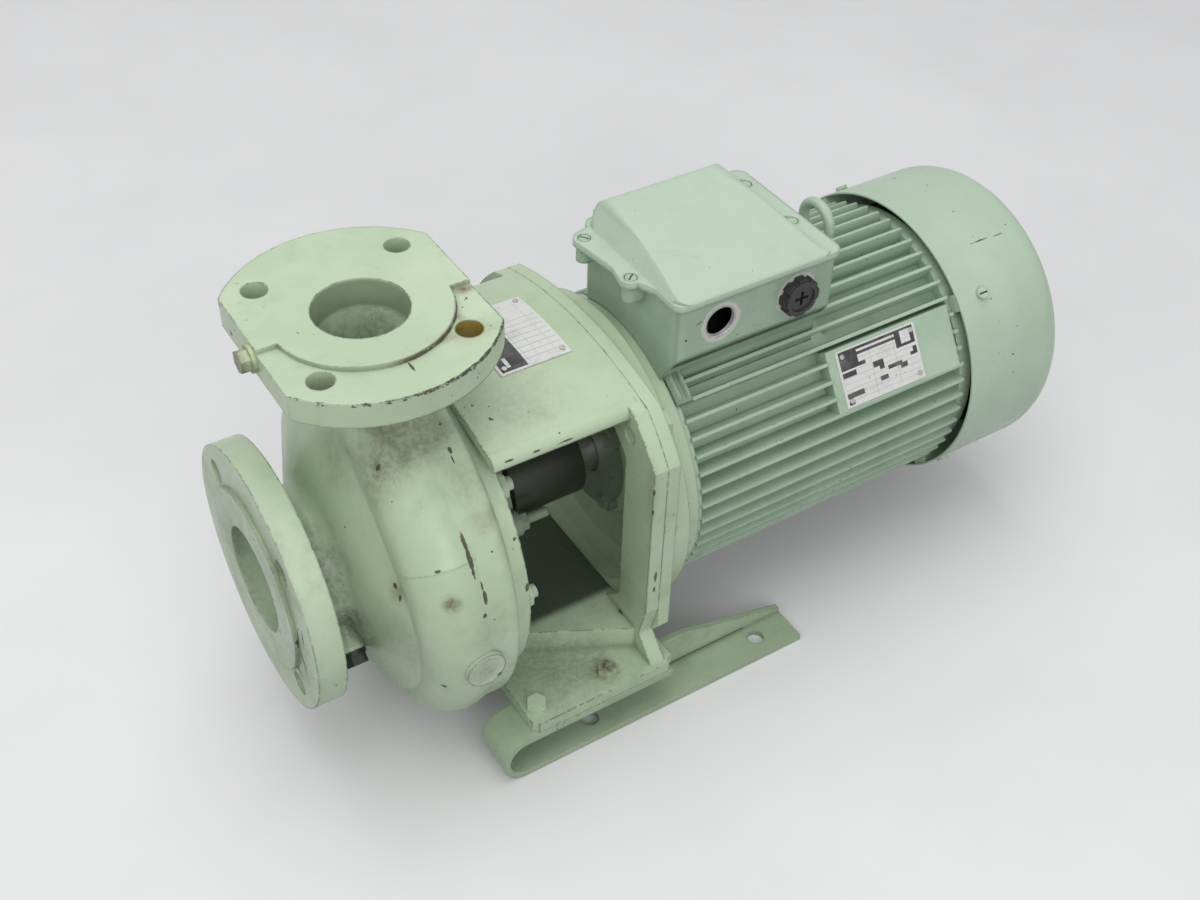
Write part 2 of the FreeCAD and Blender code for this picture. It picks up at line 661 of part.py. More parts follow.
def pump_casing_parts():
    node(volute_casing(), "volute_casing")
    ring_bore = s.eye_radius + s.ring_gap
    ring = turned([
        (s.ring_front, ring_bore), (s.ring_front, s.ring_radius),
        (s.ring_front + s.ring_width, s.ring_radius), (s.ring_front + s.ring_width, ring_bore)])
    node(ring, "wear_ring")
    gasket_front = s.casing_length - s.cover_seat_depth
    gasket = tube(s.cover_seat - 0.5, s.chamber_radius + 0.5, s.gasket_thick, gasket_front)
    node(gasket, "casing_gasket")
    throat = s.sleeve_radius + 1.0
    cover = turned([
        (wheel_rear + s.shroud + 3.0, s.hub_radius + 3.0),
        (wheel_rear + s.shroud + 3.0, s.chamber_radius - 3.0),
        (cover_front, s.chamber_radius - 1.0), (cover_front, s.cover_seat - s.seat_clearance),
        (cover_rear, s.cover_seat - s.seat_clearance), (cover_rear, s.seal_house + 8.0),
        (cover_rear + 8.0, s.seal_house, 8.0), (gland_front, s.seal_house),
        (gland_front, s.seal_chamber), (cover_rear - 7.0, s.seal_chamber),
        (cover_rear - 7.0, throat), (hub_rear + 1.5, throat), (hub_rear + 1.5, s.hub_radius + 3.0),
    ])
    gland_holes = [cylinder(4.0, 18.0, gland_front - 16.0, *polar(s.gland_studs, angle))
                   for angle in (90, 270)]
    ears = [cylinder(9.0, 16.0, gland_front - 16.0, *polar(s.gland_studs, angle))
            for angle in (90, 270)]
    node(cut(fuse(cover, *ears), *gland_holes), "casing_cover")


def stud_parts():
    """Studs and nuts that hold the lantern to the casing."""
    studs, nuts = [], []
    seat = lantern_front + s.lantern_flange
    start = s.casing_length - s.stud_depth
    reach = seat - start + s.nut_height + 5.0
    for angle in range(0, 360, 45):
        y, z = polar(s.stud_circle, angle)
        studs.append(cylinder(s.stud_radius, reach, start, y, z))
        nut = hexagon(s.nut_radius, s.nut_height, seat, y, z)
        nuts.append(cut(nut, cylinder(s.stud_radius, s.nut_height + 2.0, seat - 1.0, y, z)))
    node(group(*studs), "casing_studs")
    node(group(*nuts), "casing_nuts")


# Impeller and shaft seal


def blade_outline(body):
    """One backward-curved blade, from the eye to the rim."""
    sketch = new_sketch(body, "YZ_Plane", wheel_front - 12.0)
    rim, eye = s.impeller_radius - 0.5, s.eye_bore - 2.0
    sweep = 62.0
    tip = polar(rim, sweep)
    tip_inner = polar(rim, sweep + 4.0)
    draw_outline(sketch, [
        (0.0, eye), (tip[0], tip[1], s.impeller_radius * 0.75),
        (tip_inner[0], tip_inner[1]),
        (0.0, eye - s.blade_thick * 1.4, -(s.impeller_radius * 0.75 + s.blade_thick)),
    ])
    return sketch


def impeller():
    blades = new_body()
    first = pad(blades, blade_outline(blades), s.outlet_width + 14.0)
    repeat(blades, first, 6)
    eye_line = hub_front
    channel = turned([
        (eye_line, s.journal_radius + 2.0), (eye_line - 2.0, s.eye_bore + 1.0),
        (wheel_front - 5.0, s.eye_bore + 16.0), (wheel_front - 1.0, s.impeller_radius),
        (wheel_rear + 1.0, s.impeller_radius), (wheel_rear + 1.0, s.journal_radius + 2.0)])
    front = turned([
        (s.ring_front + 2.0, s.eye_bore), (s.ring_front + 2.0, s.eye_radius),
        (s.ring_front + s.ring_width + 1.0, s.eye_radius),
        (wheel_front - s.shroud - 5.0, s.eye_radius + 17.0),
        (wheel_front - s.shroud, s.impeller_radius), (wheel_front, s.impeller_radius),
        (wheel_front - 5.0, s.eye_bore + 20.0), (s.ring_front + s.ring_width, s.eye_bore + 3.0)])
    back = turned([
        (hub_front, s.journal_radius), (hub_front, s.journal_radius + 5.0),
        (wheel_rear - 6.0, s.hub_radius + 4.0), (wheel_rear, s.hub_radius + 14.0),
        (wheel_rear, s.impeller_radius), (wheel_rear + s.shroud, s.impeller_radius),
        (wheel_rear + s.shroud, s.hub_radius), (hub_rear, s.hub_radius),
        (hub_rear, s.journal_radius)])
    key_slot = block(20.0, 5.0, s.journal_radius + 2.5, hub_rear - 21.0, -2.5, 0.0)
    return cut(fuse(common(blades, channel), front, back), key_slot,
               cylinder(s.journal_radius, 60.0, hub_front - 5.0))


def rotating_pump_parts():
    node(impeller(), "impeller")
    # The stub shaft carries the impeller and clamps over the motor's shaft end.
    bore_front = lantern_rear - s.shaft_end
    shaft = turned([
        (hub_front - 12.0, 0.0), (hub_front - 12.0, 8.0), (hub_front, 8.0),
        (hub_front, s.journal_radius), (hub_rear, s.journal_radius),
        (hub_rear, s.sleeve_radius), (coupling_front, s.sleeve_radius),
        (coupling_front + 4.0, s.coupling_radius), (coupling_rear, s.coupling_radius),
        (coupling_rear, s.motor_shaft_radius), (bore_front, s.motor_shaft_radius),
        (bore_front, 0.0)])
    key_seat = block(18.0, 5.0, 4.0, hub_rear - 20.0, -2.5, s.journal_radius - 2.0)
    screws, holes = [], []
    for station in (coupling_rear - 14.0, coupling_rear - 34.0):
        foot = s.motor_shaft_radius
        screws.append(cylinder(4.0, s.coupling_radius - foot + 1.0, station, 0.0, foot, UPRIGHT))
        holes.append(cylinder(4.0, 20.0, station, 0.0, foot - 2.0, UPRIGHT))
    node(cut(shaft, key_seat, *holes), "stub_shaft")
    node(group(*screws), "clamp_screws")
    node(block(18.0, 5.0, 4.0, hub_rear - 20.0, -2.5, s.journal_radius - 2.0), "impeller_key")
    cap = turned([
        (hub_front - 16.0, 0.0), (hub_front - 16.0, 6.0), (hub_front - 12.0, 11.0),
        (hub_front - 3.0, 14.0), (hub_front - 3.0, 17.0), (hub_front, 17.0), (hub_front, 8.0),
        (hub_front - 12.0, 8.0), (hub_front - 12.0, 0.0)])
    node(cap, "impeller_nut")
    seal_front = cover_rear - 4.0
    ring_rear = gland_front - 3.0
    seal = turned([
        (seal_front, s.sleeve_radius), (seal_front, s.seal_chamber - 3.0),
        (seal_front + 5.0, s.seal_chamber - 3.0), (seal_front + 5.0, s.sleeve_radius + 4.0),
        (ring_rear - 9.0, s.sleeve_radius + 4.0), (ring_rear - 9.0, s.seal_chamber - 2.0),
        (ring_rear, s.seal_chamber - 2.0), (ring_rear, s.sleeve_radius)])
    node(seal, "seal_rotating_ring")
    seat_bore = s.sleeve_radius + 1.0
    seat_rim = s.seal_chamber - s.seat_clearance
    seat = turned([
        (ring_rear + 0.3, seat_bore), (ring_rear + 0.3, s.seal_chamber - 3.0),
        (gland_front, s.seal_chamber - 3.0), (gland_front, seat_rim),
        (gland_front + 7.0, seat_rim), (gland_front + 7.0, seat_bore)])
    node(seat, "seal_seat")


def gland_parts():
    recess = s.seal_chamber
    inner = s.sleeve_radius + 1.5
    disc = turned([
        (gland_front, recess), (gland_front, s.gland_radius),
        (gland_front + s.gland_thick, s.gland_radius), (gland_front + s.gland_thick, inner),
        (gland_front + 7.0, inner), (gland_front + 7.0, recess)])
    ears, holes, studs, nuts = [], [], [], []
    for angle in (90, 270):
        y, z = polar(s.gland_studs, angle)
        ears.append(cut(cylinder(10.0, s.gland_thick, gland_front, y, z),
                        cylinder(s.gland_radius - 2.0, s.gland_thick + 2.0, gland_front - 1.0)))
        holes.append(cylinder(4.4, s.gland_thick + 2.0, gland_front - 1.0, y, z))
        studs.append(cylinder(4.0, s.gland_thick + 38.0, gland_front - 14.0, y, z))
        nut_seat = gland_front + s.gland_thick
        nuts.append(cut(hexagon(7.5, 6.5, nut_seat, y, z), cylinder(4.0, 9.0, nut_seat - 1.0, y, z)))
    node(cut(fuse(disc, *ears), *holes), "gland_plate")
    node(group(*studs), "gland_studs")
    node(group(*nuts), "gland_nuts")


# Lantern with its foot


def crown_corner():
    """Where the crowned top meets the round corner of the motor flange."""
    drop = s.crown_radius - s.flange_top
    height = (s.crown_radius * s.crown_radius - s.flange_radius * s.flange_radius
              - drop * drop) / (drop * 2.0)
    return root(s.flange_radius * s.flange_radius - height * height), height


def flange_outline():
    """The lantern's rear wall: crowned top, straight sides and a foot that spreads."""
    shoulder = root(s.flange_radius * s.flange_radius - s.flange_half * s.flange_half)
    crown_y, crown_z = crown_corner()
    foot_half = s.rail_centre + s.rail_width / 2 - 1.0
    return [
        (-crown_y, crown_z, s.crown_radius), (-s.flange_half, shoulder, s.flange_radius),
        (-s.flange_half, -60.0), (-(s.flange_half - 7.0), -s.floor_top),
        (-foot_half, foot_top - 4.0), (-foot_half, rail_top),
        (-58.0, rail_top), (-46.0, foot_top + 6.0), (46.0, foot_top + 6.0), (58.0, rail_top),
        (foot_half, rail_top), (foot_half, foot_top - 4.0),
        (s.flange_half - 7.0, -s.floor_top), (s.flange_half, -60.0),
        (s.flange_half, shoulder), (crown_y, crown_z, s.flange_radius),
        (0.0, s.flange_top, s.crown_radius),
    ]


def square_outline():
    """The motor's flange: the lantern's crown and sides over a flat bottom."""
    shoulder = root(s.flange_radius * s.flange_radius - s.flange_half * s.flange_half)
    bottom = root(s.flange_radius * s.flange_radius - s.flange_top * s.flange_top)
    crown_y, crown_z = crown_corner()
    return [
        (-crown_y, crown_z, s.crown_radius), (-s.flange_half, shoulder, s.flange_radius),
        (-s.flange_half, -shoulder), (-bottom, -s.flange_top, s.flange_radius),
        (bottom, -s.flange_top), (s.flange_half, -shoulder, s.flange_radius),
        (s.flange_half, shoulder), (crown_y, crown_z, s.flange_radius),
        (0.0, s.flange_top, s.crown_radius),
    ]


def shell_outline():
    """The arched top shell with a lip down each side."""
    near = s.shell_half - s.shell_lip
    crown_z = s.flange_top - s.crown_radius + root(s.crown_radius * s.crown_radius - near * near)
    inner = s.crown_radius - s.shell_wall
    inner_z = s.flange_top - s.crown_radius + root(inner * inner - near * near)
    low = inner_z - 2.0
    return [
        (near, crown_z), (-near, crown_z, s.crown_radius),
        (-s.shell_half, crown_z - s.shell_lip, s.shell_lip), (-s.shell_half, low),
        (-near, low), (-near, inner_z), (near, inner_z, -inner),
        (near, low), (s.shell_half, low), (s.shell_half, crown_z - s.shell_lip),
    ]


def lantern():
    front = cylinder(s.lantern_front_radius, s.lantern_flange, lantern_front)
    rear_start = lantern_rear - s.lantern_flange
    rear = plate("YZ_Plane", flange_outline(), rear_start, s.lantern_flange)
    shell = plate("YZ_Plane", shell_outline(), lantern_front + 4.0, s.lantern_length - 8.0)
    # The floor widens towards the motor, and a wall under each edge stands on the foot.
    front_x, rear_x = lantern_front + 4.0, lantern_rear - 4.0
    narrow, wide = 58.0, s.flange_half - 8.0
    floor = plate("XY_Plane", [(front_x, -narrow), (rear_x, -wide), (rear_x, wide),
                               (front_x, narrow)], -(s.floor_top + s.floor_thick), s.floor_thick)
    walls, feet = [], []
    outer = s.rail_centre + s.rail_width / 2 - 1.0
    foot_front, foot_rear = s.foot_bolt_front - 11.0, lantern_rear + 8.0
    for side in (-1.0, 1.0):
        wall = plate("XY_Plane", [
            (front_x, side * narrow), (rear_x, side * wide),
            (rear_x, side * (wide - 9.0)), (front_x, side * (narrow - 9.0))],
            rail_top, foot_depth)
        walls.append(wall)
        feet.append(plate("XY_Plane", [
            (foot_front, side * (outer - 4.0)), (foot_front + 4.0, side * outer, 4.0 * -side * -1.0),
            (foot_rear - 6.0, side * outer), (foot_rear, side * (outer - 6.0), 6.0 * -side * -1.0),
            (foot_rear, side * (s.flange_half - 18.0)), (foot_front + 6.0, side * 50.0), (foot_front, side * 56.0)],
            rail_top, s.foot_thick))
    tools = [
        cylinder(s.seal_house + 12.0, s.lantern_flange + 2.0, lantern_front - 1.0),
        common(cylinder(s.opening_radius, s.lantern_flange + 2.0, rear_start - 1.0),
               block(s.lantern_flange + 2.0, s.opening_half * 2.0, s.opening_radius + s.floor_top,
                     rear_start - 1.0, -s.opening_half, -s.floor_top)),
        cylinder(s.spigot_radius, 6.0, lantern_rear - 5.0),
    ]
    clear = s.stud_radius + s.bolt_clearance
    for angle in range(0, 360, 45):
        tools.append(cylinder(clear, s.lantern_flange + 2.0, lantern_front - 1.0,
                              *polar(s.stud_circle, angle)))
    for angle in QUARTERS:
        tools.append(cylinder(s.bolt_radius, s.lantern_flange + 2.0, rear_start - 1.0,
                              *polar(s.flange_bolts, angle)))
    for x, y in foot_bolt_places():
        tools.append(cylinder(s.foot_bolt_radius + s.bolt_clearance, s.foot_thick + 2.0, x, y,
                              rail_top - 1.0, UPRIGHT))
    return cut(fuse(front, rear, shell, floor, *walls, *feet), *tools)


foot_depth = -s.floor_top - s.floor_thick / 2 - rail_top


def foot_bolt_places():
    return [(s.foot_bolt_front + step * s.foot_bolt_spacing, side * s.rail_centre)
            for side in (-1.0, 1.0) for step in (0, 1)]


# Base rails


def rail(side):
    """A strip folded back on itself, with a tapering web along its inner edge."""
    body = new_body()
    outer = s.rail_height / 2
    inner = outer - s.rail_strip
    fold = s.rail_fold + outer
    leg_top = base_level + s.rail_strip
    tongue = rail_top - s.rail_strip
    middle = base_level + outer
    near = s.rail_centre + s.rail_width / 2
    far = s.rail_centre - s.rail_width / 2
    # The sketch plane's normal points to -y, so the far rail is drawn from its other edge.
    start = far if side < 0 else -near
    strip = new_sketch(body, "XZ_Plane", start)
    draw_outline(strip, [
        (s.rail_end, base_level), (s.rail_end, leg_top), (fold, leg_top),
        (fold - inner, middle, -inner), (fold, tongue, -inner),
        (s.rail_tongue, tongue), (s.rail_tongue, rail_top), (fold, rail_top),
        (fold - outer, middle, outer), (fold, base_level, outer)])
    pad(body, strip, s.rail_width)
    web_start = start if side < 0 else -far - 5.0
    web = new_sketch(body, "XZ_Plane", web_start)
    web_front = s.rail_tongue - 32.0
    draw_outline(web, [
        (web_front, leg_top + 1.5), (s.rail_end - 38.0, leg_top + 1.5),
        (s.rail_end - 36.0, leg_top), (s.rail_end, leg_top), (s.rail_end, leg_top + 4.5),
        (s.rail_tongue + 54.0, tongue - 7.0), (s.rail_tongue + 32.0, tongue + 0.5),
        (s.rail_tongue, tongue + 0.5), (s.rail_tongue, tongue), (web_front, tongue)])
    pad(body, web, 5.0)
    holes = new_sketch(body, "XY_Plane", leg_top + 1.0)
    for step in (-0.5, 0.5):
        draw_circle(holes, s.anchor_centre + step * s.anchor_spacing, side * s.rail_centre,
                    s.anchor_radius)
    pocket(body, holes, s.rail_strip + 2.0)
    bolts = new_sketch(body, "XY_Plane", rail_top + 1.0)
    for step in (0, 1):
        draw_circle(bolts, s.foot_bolt_front + step * s.foot_bolt_spacing, side * s.rail_centre,
                    s.foot_bolt_radius + s.bolt_clearance)
    pocket(body, bolts, s.rail_strip + 2.0)
    return body


def base_parts():
    node(rail(-1.0), "foot_rail_near")
    node(rail(1.0), "foot_rail_far")
    bolts, nuts = [], []
    grip = s.foot_thick + s.rail_strip
    nut_height = 6.5
    for x, y in foot_bolt_places():
        shank = cylinder(s.foot_bolt_radius, grip + nut_height + 3.0, x, y,
                         foot_top - grip - nut_height - 3.0, UPRIGHT)
        head = hexagon(s.foot_bolt_corner, s.foot_bolt_head, x, y, foot_top, UPRIGHT)
        bolts.append(fuse(shank, head))
        under = rail_top - s.rail_strip - nut_height
        bore = cylinder(s.foot_bolt_radius, nut_height + 2.0, x, y, under - 1.0, UPRIGHT)
        nuts.append(cut(hexagon(s.foot_bolt_corner, nut_height, x, y, under, UPRIGHT), bore))
    node(group(*bolts), "foot_bolts")
    node(group(*nuts), "foot_nuts")


# Motor


def drive_end_shield():
    """The shield: a flange and a round rim, a dished web and the bearing's housing."""
    hub = s.bearing_outer + s.hub_wall
    rim_rear = lantern_rear + 24.0
    seat = s.spigot_radius - s.seat_clearance
    fit = s.core_radius - s.seat_clearance
    bearing_end = drive_bearing + s.bearing_width + 2.0
    profile = turned([
        (lantern_rear - 4.7, seat - 11.0), (lantern_rear - 4.7, seat), (lantern_rear, seat),
        (lantern_rear, s.rim_radius), (rim_rear, s.rim_radius),
        (rim_rear, s.collar_radius), (frame_front, s.collar_radius),
        (frame_front, fit), (frame_front + 5.0, fit),
        (frame_front + 5.0, fit - 8.0), (frame_front - 8.0, fit - 8.0),
        (frame_front - 8.0, hub), (bearing_end, hub), (bearing_end, s.bearing_outer),
        (drive_bearing, s.bearing_outer), (drive_bearing, s.bearing_outer - 6.0),
        (lantern_rear + 17.0, s.bearing_outer - 6.0), (lantern_rear + 17.0, hub + 4.0),
        (lantern_rear + 22.0, hub + 8.0), (lantern_rear + 22.0, s.core_radius - 2.0),
        (lantern_rear + 14.0, s.core_radius + 12.0)])
    square = plate("YZ_Plane", square_outline(), lantern_rear, s.motor_flange)
    square = cut(square, cylinder(s.spigot_radius - 6.0, s.motor_flange + 2.0, lantern_rear - 1.0))
    holes = [cylinder(s.bolt_radius + s.bolt_clearance, s.motor_flange + 2.0, lantern_rear - 1.0,
                      *polar(s.flange_bolts, angle)) for angle in QUARTERS]
    # Each bolt head sits in a spot face that bites into the round rim.
    spots = [cylinder(s.bolt_corner + 1.5, s.shield_depth, flange_rear,
                      *polar(s.flange_bolts, angle)) for angle in QUARTERS]
    screw_holes = [cylinder(3.0, 24.0, lantern_rear + 10.0, *polar(s.bearing_outer + 5.0, angle))
                   for angle in QUARTERS]
    return cut(fuse(profile, square), *holes, *spots, *screw_holes)


def bearing_cover_parts():
    front = lantern_rear + 11.0
    thick = 6.0
    disc = tube(s.bearing_outer + 7.0, s.motor_shaft_radius + 1.5, thick, front)
    lobes, holes, screws = [], [], []
    for angle in QUARTERS:
        y, z = polar(s.bearing_outer + 5.0, angle)
        lobes.append(cylinder(9.0, thick, front, y, z))
        holes.append(cylinder(3.4, thick + 2.0, front - 1.0, y, z))
        shank = cylinder(3.0, 16.0, front, y, z)
        screws.append(fuse(shank, hexagon(5.6, 4.0, front - 4.0, y, z)))
    bore = cylinder(s.motor_shaft_radius + 1.5, thick + 2.0, front - 1.0)
    node(cut(fuse(disc, *lobes), bore, *holes), "bearing_cover")
    node(group(*screws), "bearing_cover_screws")


def flange_bolt_parts():
    bolts = []
    for angle in QUARTERS:
        y, z = polar(s.flange_bolts, angle)
        shank = cylinder(s.bolt_radius, s.motor_flange + s.lantern_flange - 1.0,
                         flange_rear - s.motor_flange - s.lantern_flange + 1.0, y, z)
        bolts.append(fuse(shank, hexagon(s.bolt_corner, s.bolt_head, flange_rear, y, z)))
    node(group(*bolts), "motor_flange_bolts")


def bearing_parts(name, front):
    """One ball bearing: two rings and the set of balls in their cage."""
    inner_ring = s.ball_circle - s.ball_radius - s.race_gap
    outer_ring = s.ball_circle + s.ball_radius + s.race_gap
    node(tube(s.bearing_outer - s.seat_clearance, outer_ring, s.bearing_width, front),
         name + "_bearing_outer")
    node(tube(inner_ring, s.bearing_bore, s.bearing_width, front), name + "_bearing_inner")
    middle = front + s.bearing_width / 2
    balls, pockets = [], []
    for angle in range(0, 360, 45):
        y, z = polar(s.ball_circle, angle)
        balls.append(ball(s.ball_radius, middle, y, z))
        spin = FreeCAD.Rotation(FreeCAD.Vector(1, 0, 0), angle)
        pockets.append(cylinder(s.ball_radius + 0.4, 8.0, middle,
                                *polar(s.ball_circle - 4.0, angle), spin))
    cage = tube(s.ball_circle + 1.5, s.ball_circle - 1.5, 13.0, middle - 6.5)
    node(group(cut(cage, *pockets), *balls), name + "_bearing_balls")


FIN_COUNT = 52
LAND_ANGLE = 56.5


def motor_frame():
    body = new_body()
    frame_outer = s.core_radius + s.frame_wall
    turn(body, [(frame_front, s.core_radius), (frame_front, s.collar_radius - 3.0),
                (frame_front + 5.0, s.collar_radius - 3.0), (frame_front + 9.0, frame_outer),
                (frame_rear, frame_outer), (frame_rear, s.core_radius)])
    fin = new_sketch(body, "YZ_Plane", frame_front + 4.0)
    draw_outline(fin, [
        (-s.fin_root / 2, frame_outer - 2.0), (s.fin_root / 2, frame_outer - 2.0),
        (s.fin_tip / 2, s.fin_radius), (-s.fin_tip / 2, s.fin_radius)])
    repeat(body, pad(body, fin, s.frame_length - 4.0), FIN_COUNT)
    return body


def land(width, distance, start, length, base):
    """A flat pad on the motor's round side, turned to the nameplate's angle."""
    turned_by = FreeCAD.Rotation(FreeCAD.Vector(1, 0, 0), LAND_ANGLE)
    y, z = -math.sin(math.radians(LAND_ANGLE)), math.cos(math.radians(LAND_ANGLE))
    half_y, half_z = math.cos(math.radians(LAND_ANGLE)), math.sin(math.radians(LAND_ANGLE))
    return block(length, width, distance - base, start,
                 base * y - width / 2 * half_y, base * z - width / 2 * half_z, turned_by)


PLATE_LENGTH = 78.0
PLATE_WIDTH = 45.0
PLATE_THICK = 0.8
PLATE_GAP = 0.3


def motor_parts():
    node(drive_end_shield(), "drive_end_shield")
    bearing_cover_parts()
    flange_bolt_parts()
    frame_outer = s.core_radius + s.frame_wall
    plate_front = frame_rear - 120.0
    fins = motor_frame()
    # Under the terminal box the fins give way to a flat bed, and the eye has its own boss.
    bed_low, bed_length = s.box_bottom - 52.0, s.box_length + 10.0
    bed = block(bed_length, 106.0, 68.0, s.box_front + 2.0, -63.0, bed_low)
    pad_block = land(s.land_width, s.land_distance, frame_rear - 126.0, 122.0, frame_outer - 6.0)
    pad_clear = land(s.land_width, s.land_distance + 9.0, frame_rear - 126.0, 122.0, s.land_distance)
    eye_boss = cylinder(14.0, s.fin_radius + 1.5 - s.core_radius - 3.0, s.eye_station, 0.0,
                        s.core_radius + 3.0, UPRIGHT)
    eye_hole = cylinder(5.0, 14.0, s.eye_station, 0.0, s.fin_radius - 11.0, UPRIGHT)
    trimmed = cut(fins, common(bed, tube(s.fin_radius + 4.0, frame_outer, bed_length,
                                         s.box_front + 2.0)))
    node(cut(fuse(trimmed, pad_block, eye_boss), pad_clear, eye_hole), "motor_frame")
    stator = tube(s.core_radius - s.seat_clearance, s.rotor_radius + s.air_gap, s.core_length,
                  core_front)
    node(stator, "stator_core")
    inner, outer = s.rotor_radius + 6.0, s.core_radius - 5.0
    coils = []
    for start, flare in ((core_front - 26.0, 1.0), (core_front + s.core_length, -1.0)):
        low, high = (start, start + 26.0)
        nose, heel = (low, high) if flare > 0 else (high, low)
        coils.append(turned([(heel, inner), (nose + 5.0 * flare, inner), (nose, inner + 6.0),
                             (nose, outer - 6.0), (nose + 5.0 * flare, outer), (heel, outer)]))
    node(group(*coils), "stator_winding")
    rotor = turned([
        (core_front, s.rotor_shaft), (core_front - 14.0, s.rotor_shaft + 6.0),
        (core_front - 14.0, s.rotor_radius - 4.0), (core_front, s.rotor_radius),
        (core_front + s.core_length, s.rotor_radius),
        (core_front + s.core_length + 14.0, s.rotor_radius - 4.0),
        (core_front + s.core_length + 14.0, s.rotor_shaft + 6.0),
        (core_front + s.core_length, s.rotor_shaft)])
    node(rotor, "rotor_core")
    bore_front = lantern_rear - s.shaft_end
    shaft = turned([
        (bore_front, 0.0), (bore_front, s.motor_shaft_radius),
        (drive_bearing - 4.0, s.motor_shaft_radius), (drive_bearing - 4.0, s.bearing_bore),
        (drive_bearing + s.bearing_width, s.bearing_bore),
        (drive_bearing + s.bearing_width, s.rotor_shaft),
        (fan_bearing, s.rotor_shaft), (fan_bearing, s.bearing_bore),
        (fan_bearing + s.bearing_width + 3.0, s.bearing_bore),
        (fan_bearing + s.bearing_width + 3.0, s.fan_shaft),
        (fan_front + 34.0, s.fan_shaft), (fan_front + 34.0, 0.0)])
    node(shaft, "motor_shaft")
    bearing_parts("drive_end", drive_bearing)
    bearing_parts("fan_end", fan_bearing)


def fan_end_parts():
    hub = s.bearing_outer + s.hub_wall
    seat_rear = fan_bearing + s.bearing_width + 1.0
    frame_outer = s.core_radius + s.frame_wall
    shield = turned([
        (frame_rear - 5.0, s.core_radius - 8.0),
        (frame_rear - 5.0, s.core_radius - s.seat_clearance),
        (frame_rear, s.core_radius - s.seat_clearance), (frame_rear, frame_outer + 9.0),
        (frame_rear + 12.0, frame_outer + 9.0), (frame_rear + 12.0, hub + 6.0),
        (seat_rear + 4.0, hub), (seat_rear + 4.0, s.bearing_bore + 4.0),
        (seat_rear, s.bearing_bore + 4.0), (seat_rear, s.bearing_outer),
        (fan_bearing, s.bearing_outer), (fan_bearing, hub - 4.0), (frame_rear, hub + 4.0),
        (frame_rear + 4.0, hub + 12.0), (frame_rear + 4.0, s.core_radius - 8.0)])
    lugs, holes, screws, clear = [], [], [], []
    inside = s.cowl_radius - s.cowl_sheet
    station = cowl_front + 24.0
    for angle in QUARTERS:
        spin = FreeCAD.Rotation(FreeCAD.Vector(1, 0, 0), angle)
        lug_y = -7.0 * math.cos(math.radians(angle)), -7.0 * math.sin(math.radians(angle))
        base = frame_outer - 4.0
        y, z = polar(base, angle)
        lugs.append(block(34.0, 14.0, inside - base - 0.3, frame_rear + 2.0, y + lug_y[0],
                          z + lug_y[1], spin))
        y, z = polar(inside - 16.0, angle)
        holes.append(cylinder(2.6, 20.0, station, y, z, spin))
        shank = cylinder(2.5, 18.5, station, y, z, spin)
        y, z = polar(s.cowl_radius + 0.3, angle)
        screws.append(fuse(shank, cylinder(5.0, 3.0, station, y, z, spin)))
        y, z = polar(inside - 4.0, angle)
        clear.append(cylinder(2.8, 10.0, station, y, z, spin))
    node(cut(fuse(shield, *lugs), *holes), "fan_end_shield")
    node(group(*screws), "cowl_screws")
    node(fan_cowl(clear), "fan_cowl")
    node(fan(), "fan")


GRILLE_RINGS = 5
GRILLE_PITCH = 15.0
GRILLE_SLOT = 7.0
GRILLE_FIRST = 20.0
GRILLE_SPOKE = 9.0


def fan_cowl(screw_holes):
    """A drawn sheet cap with ring slots in its back, broken by four spokes."""
    inside = s.cowl_radius - s.cowl_sheet
    rear_in = cowl_rear - s.cowl_sheet
    small = s.cowl_round - s.cowl_sheet
    shell = turned([
        (cowl_front, inside), (cowl_front, s.cowl_radius),
        (cowl_rear - s.cowl_round, s.cowl_radius),
        (cowl_rear, s.cowl_radius - s.cowl_round, -s.cowl_round), (cowl_rear, 0.0),
        (rear_in, 0.0), (rear_in, inside - small), (rear_in - small, inside, small)])
    rings = [tube(GRILLE_FIRST + GRILLE_PITCH * step + GRILLE_SLOT,
                  s.cowl_sheet * 0.0 + GRILLE_FIRST + GRILLE_PITCH * step,
                  s.cowl_sheet + 2.0, rear_in - 1.0) for step in range(GRILLE_RINGS)]
    spokes = []
    for angle in (45, 135):
        spin = FreeCAD.Rotation(FreeCAD.Vector(1, 0, 0), angle)
        shift = FreeCAD.Vector(0, -GRILLE_SPOKE / 2, -s.cowl_radius.value)
        base = spin.multVec(shift)
        spokes.append(block(s.cowl_sheet + 6.0, GRILLE_SPOKE, s.cowl_radius * 2, rear_in - 3.0,
                            base.y, base.z, spin))
    return cut(shell, cut(group(*rings), *spokes), *screw_holes)


def fan():
    hub = s.fan_shaft + 12.0
    disc = turned([
        (fan_front, s.fan_shaft), (fan_front, hub), (fan_front, s.fan_radius - 4.0),
        (fan_front + 3.0, s.fan_radius - 4.0), (fan_front + 3.0, hub),
        (fan_front + 30.0, hub - 3.0), (fan_front + 30.0, s.fan_shaft)])
    blades = new_body()
    blade = new_sketch(blades, "YZ_Plane", fan_front + 1.0)
    draw_outline(blade, [(-1.5, hub - 4.0), (1.5, hub - 4.0), (1.5, s.fan_radius),
                         (-1.5, s.fan_radius)])
    repeat(blades, pad(blades, blade, 30.0), 7)
    return fuse(disc, blades)


# Terminal box


def rounded(length, width, height, radius, x, y, z):
    """A block with its upright edges rounded."""
    end, side = x + length, y + width
    return plate("XY_Plane", [
        (x + radius, y, radius), (end - radius, y), (end, y + radius, radius),
        (end, side - radius), (end - radius, side, radius), (x + radius, side),
        (x, side - radius, radius), (x, y + radius)], z, height)


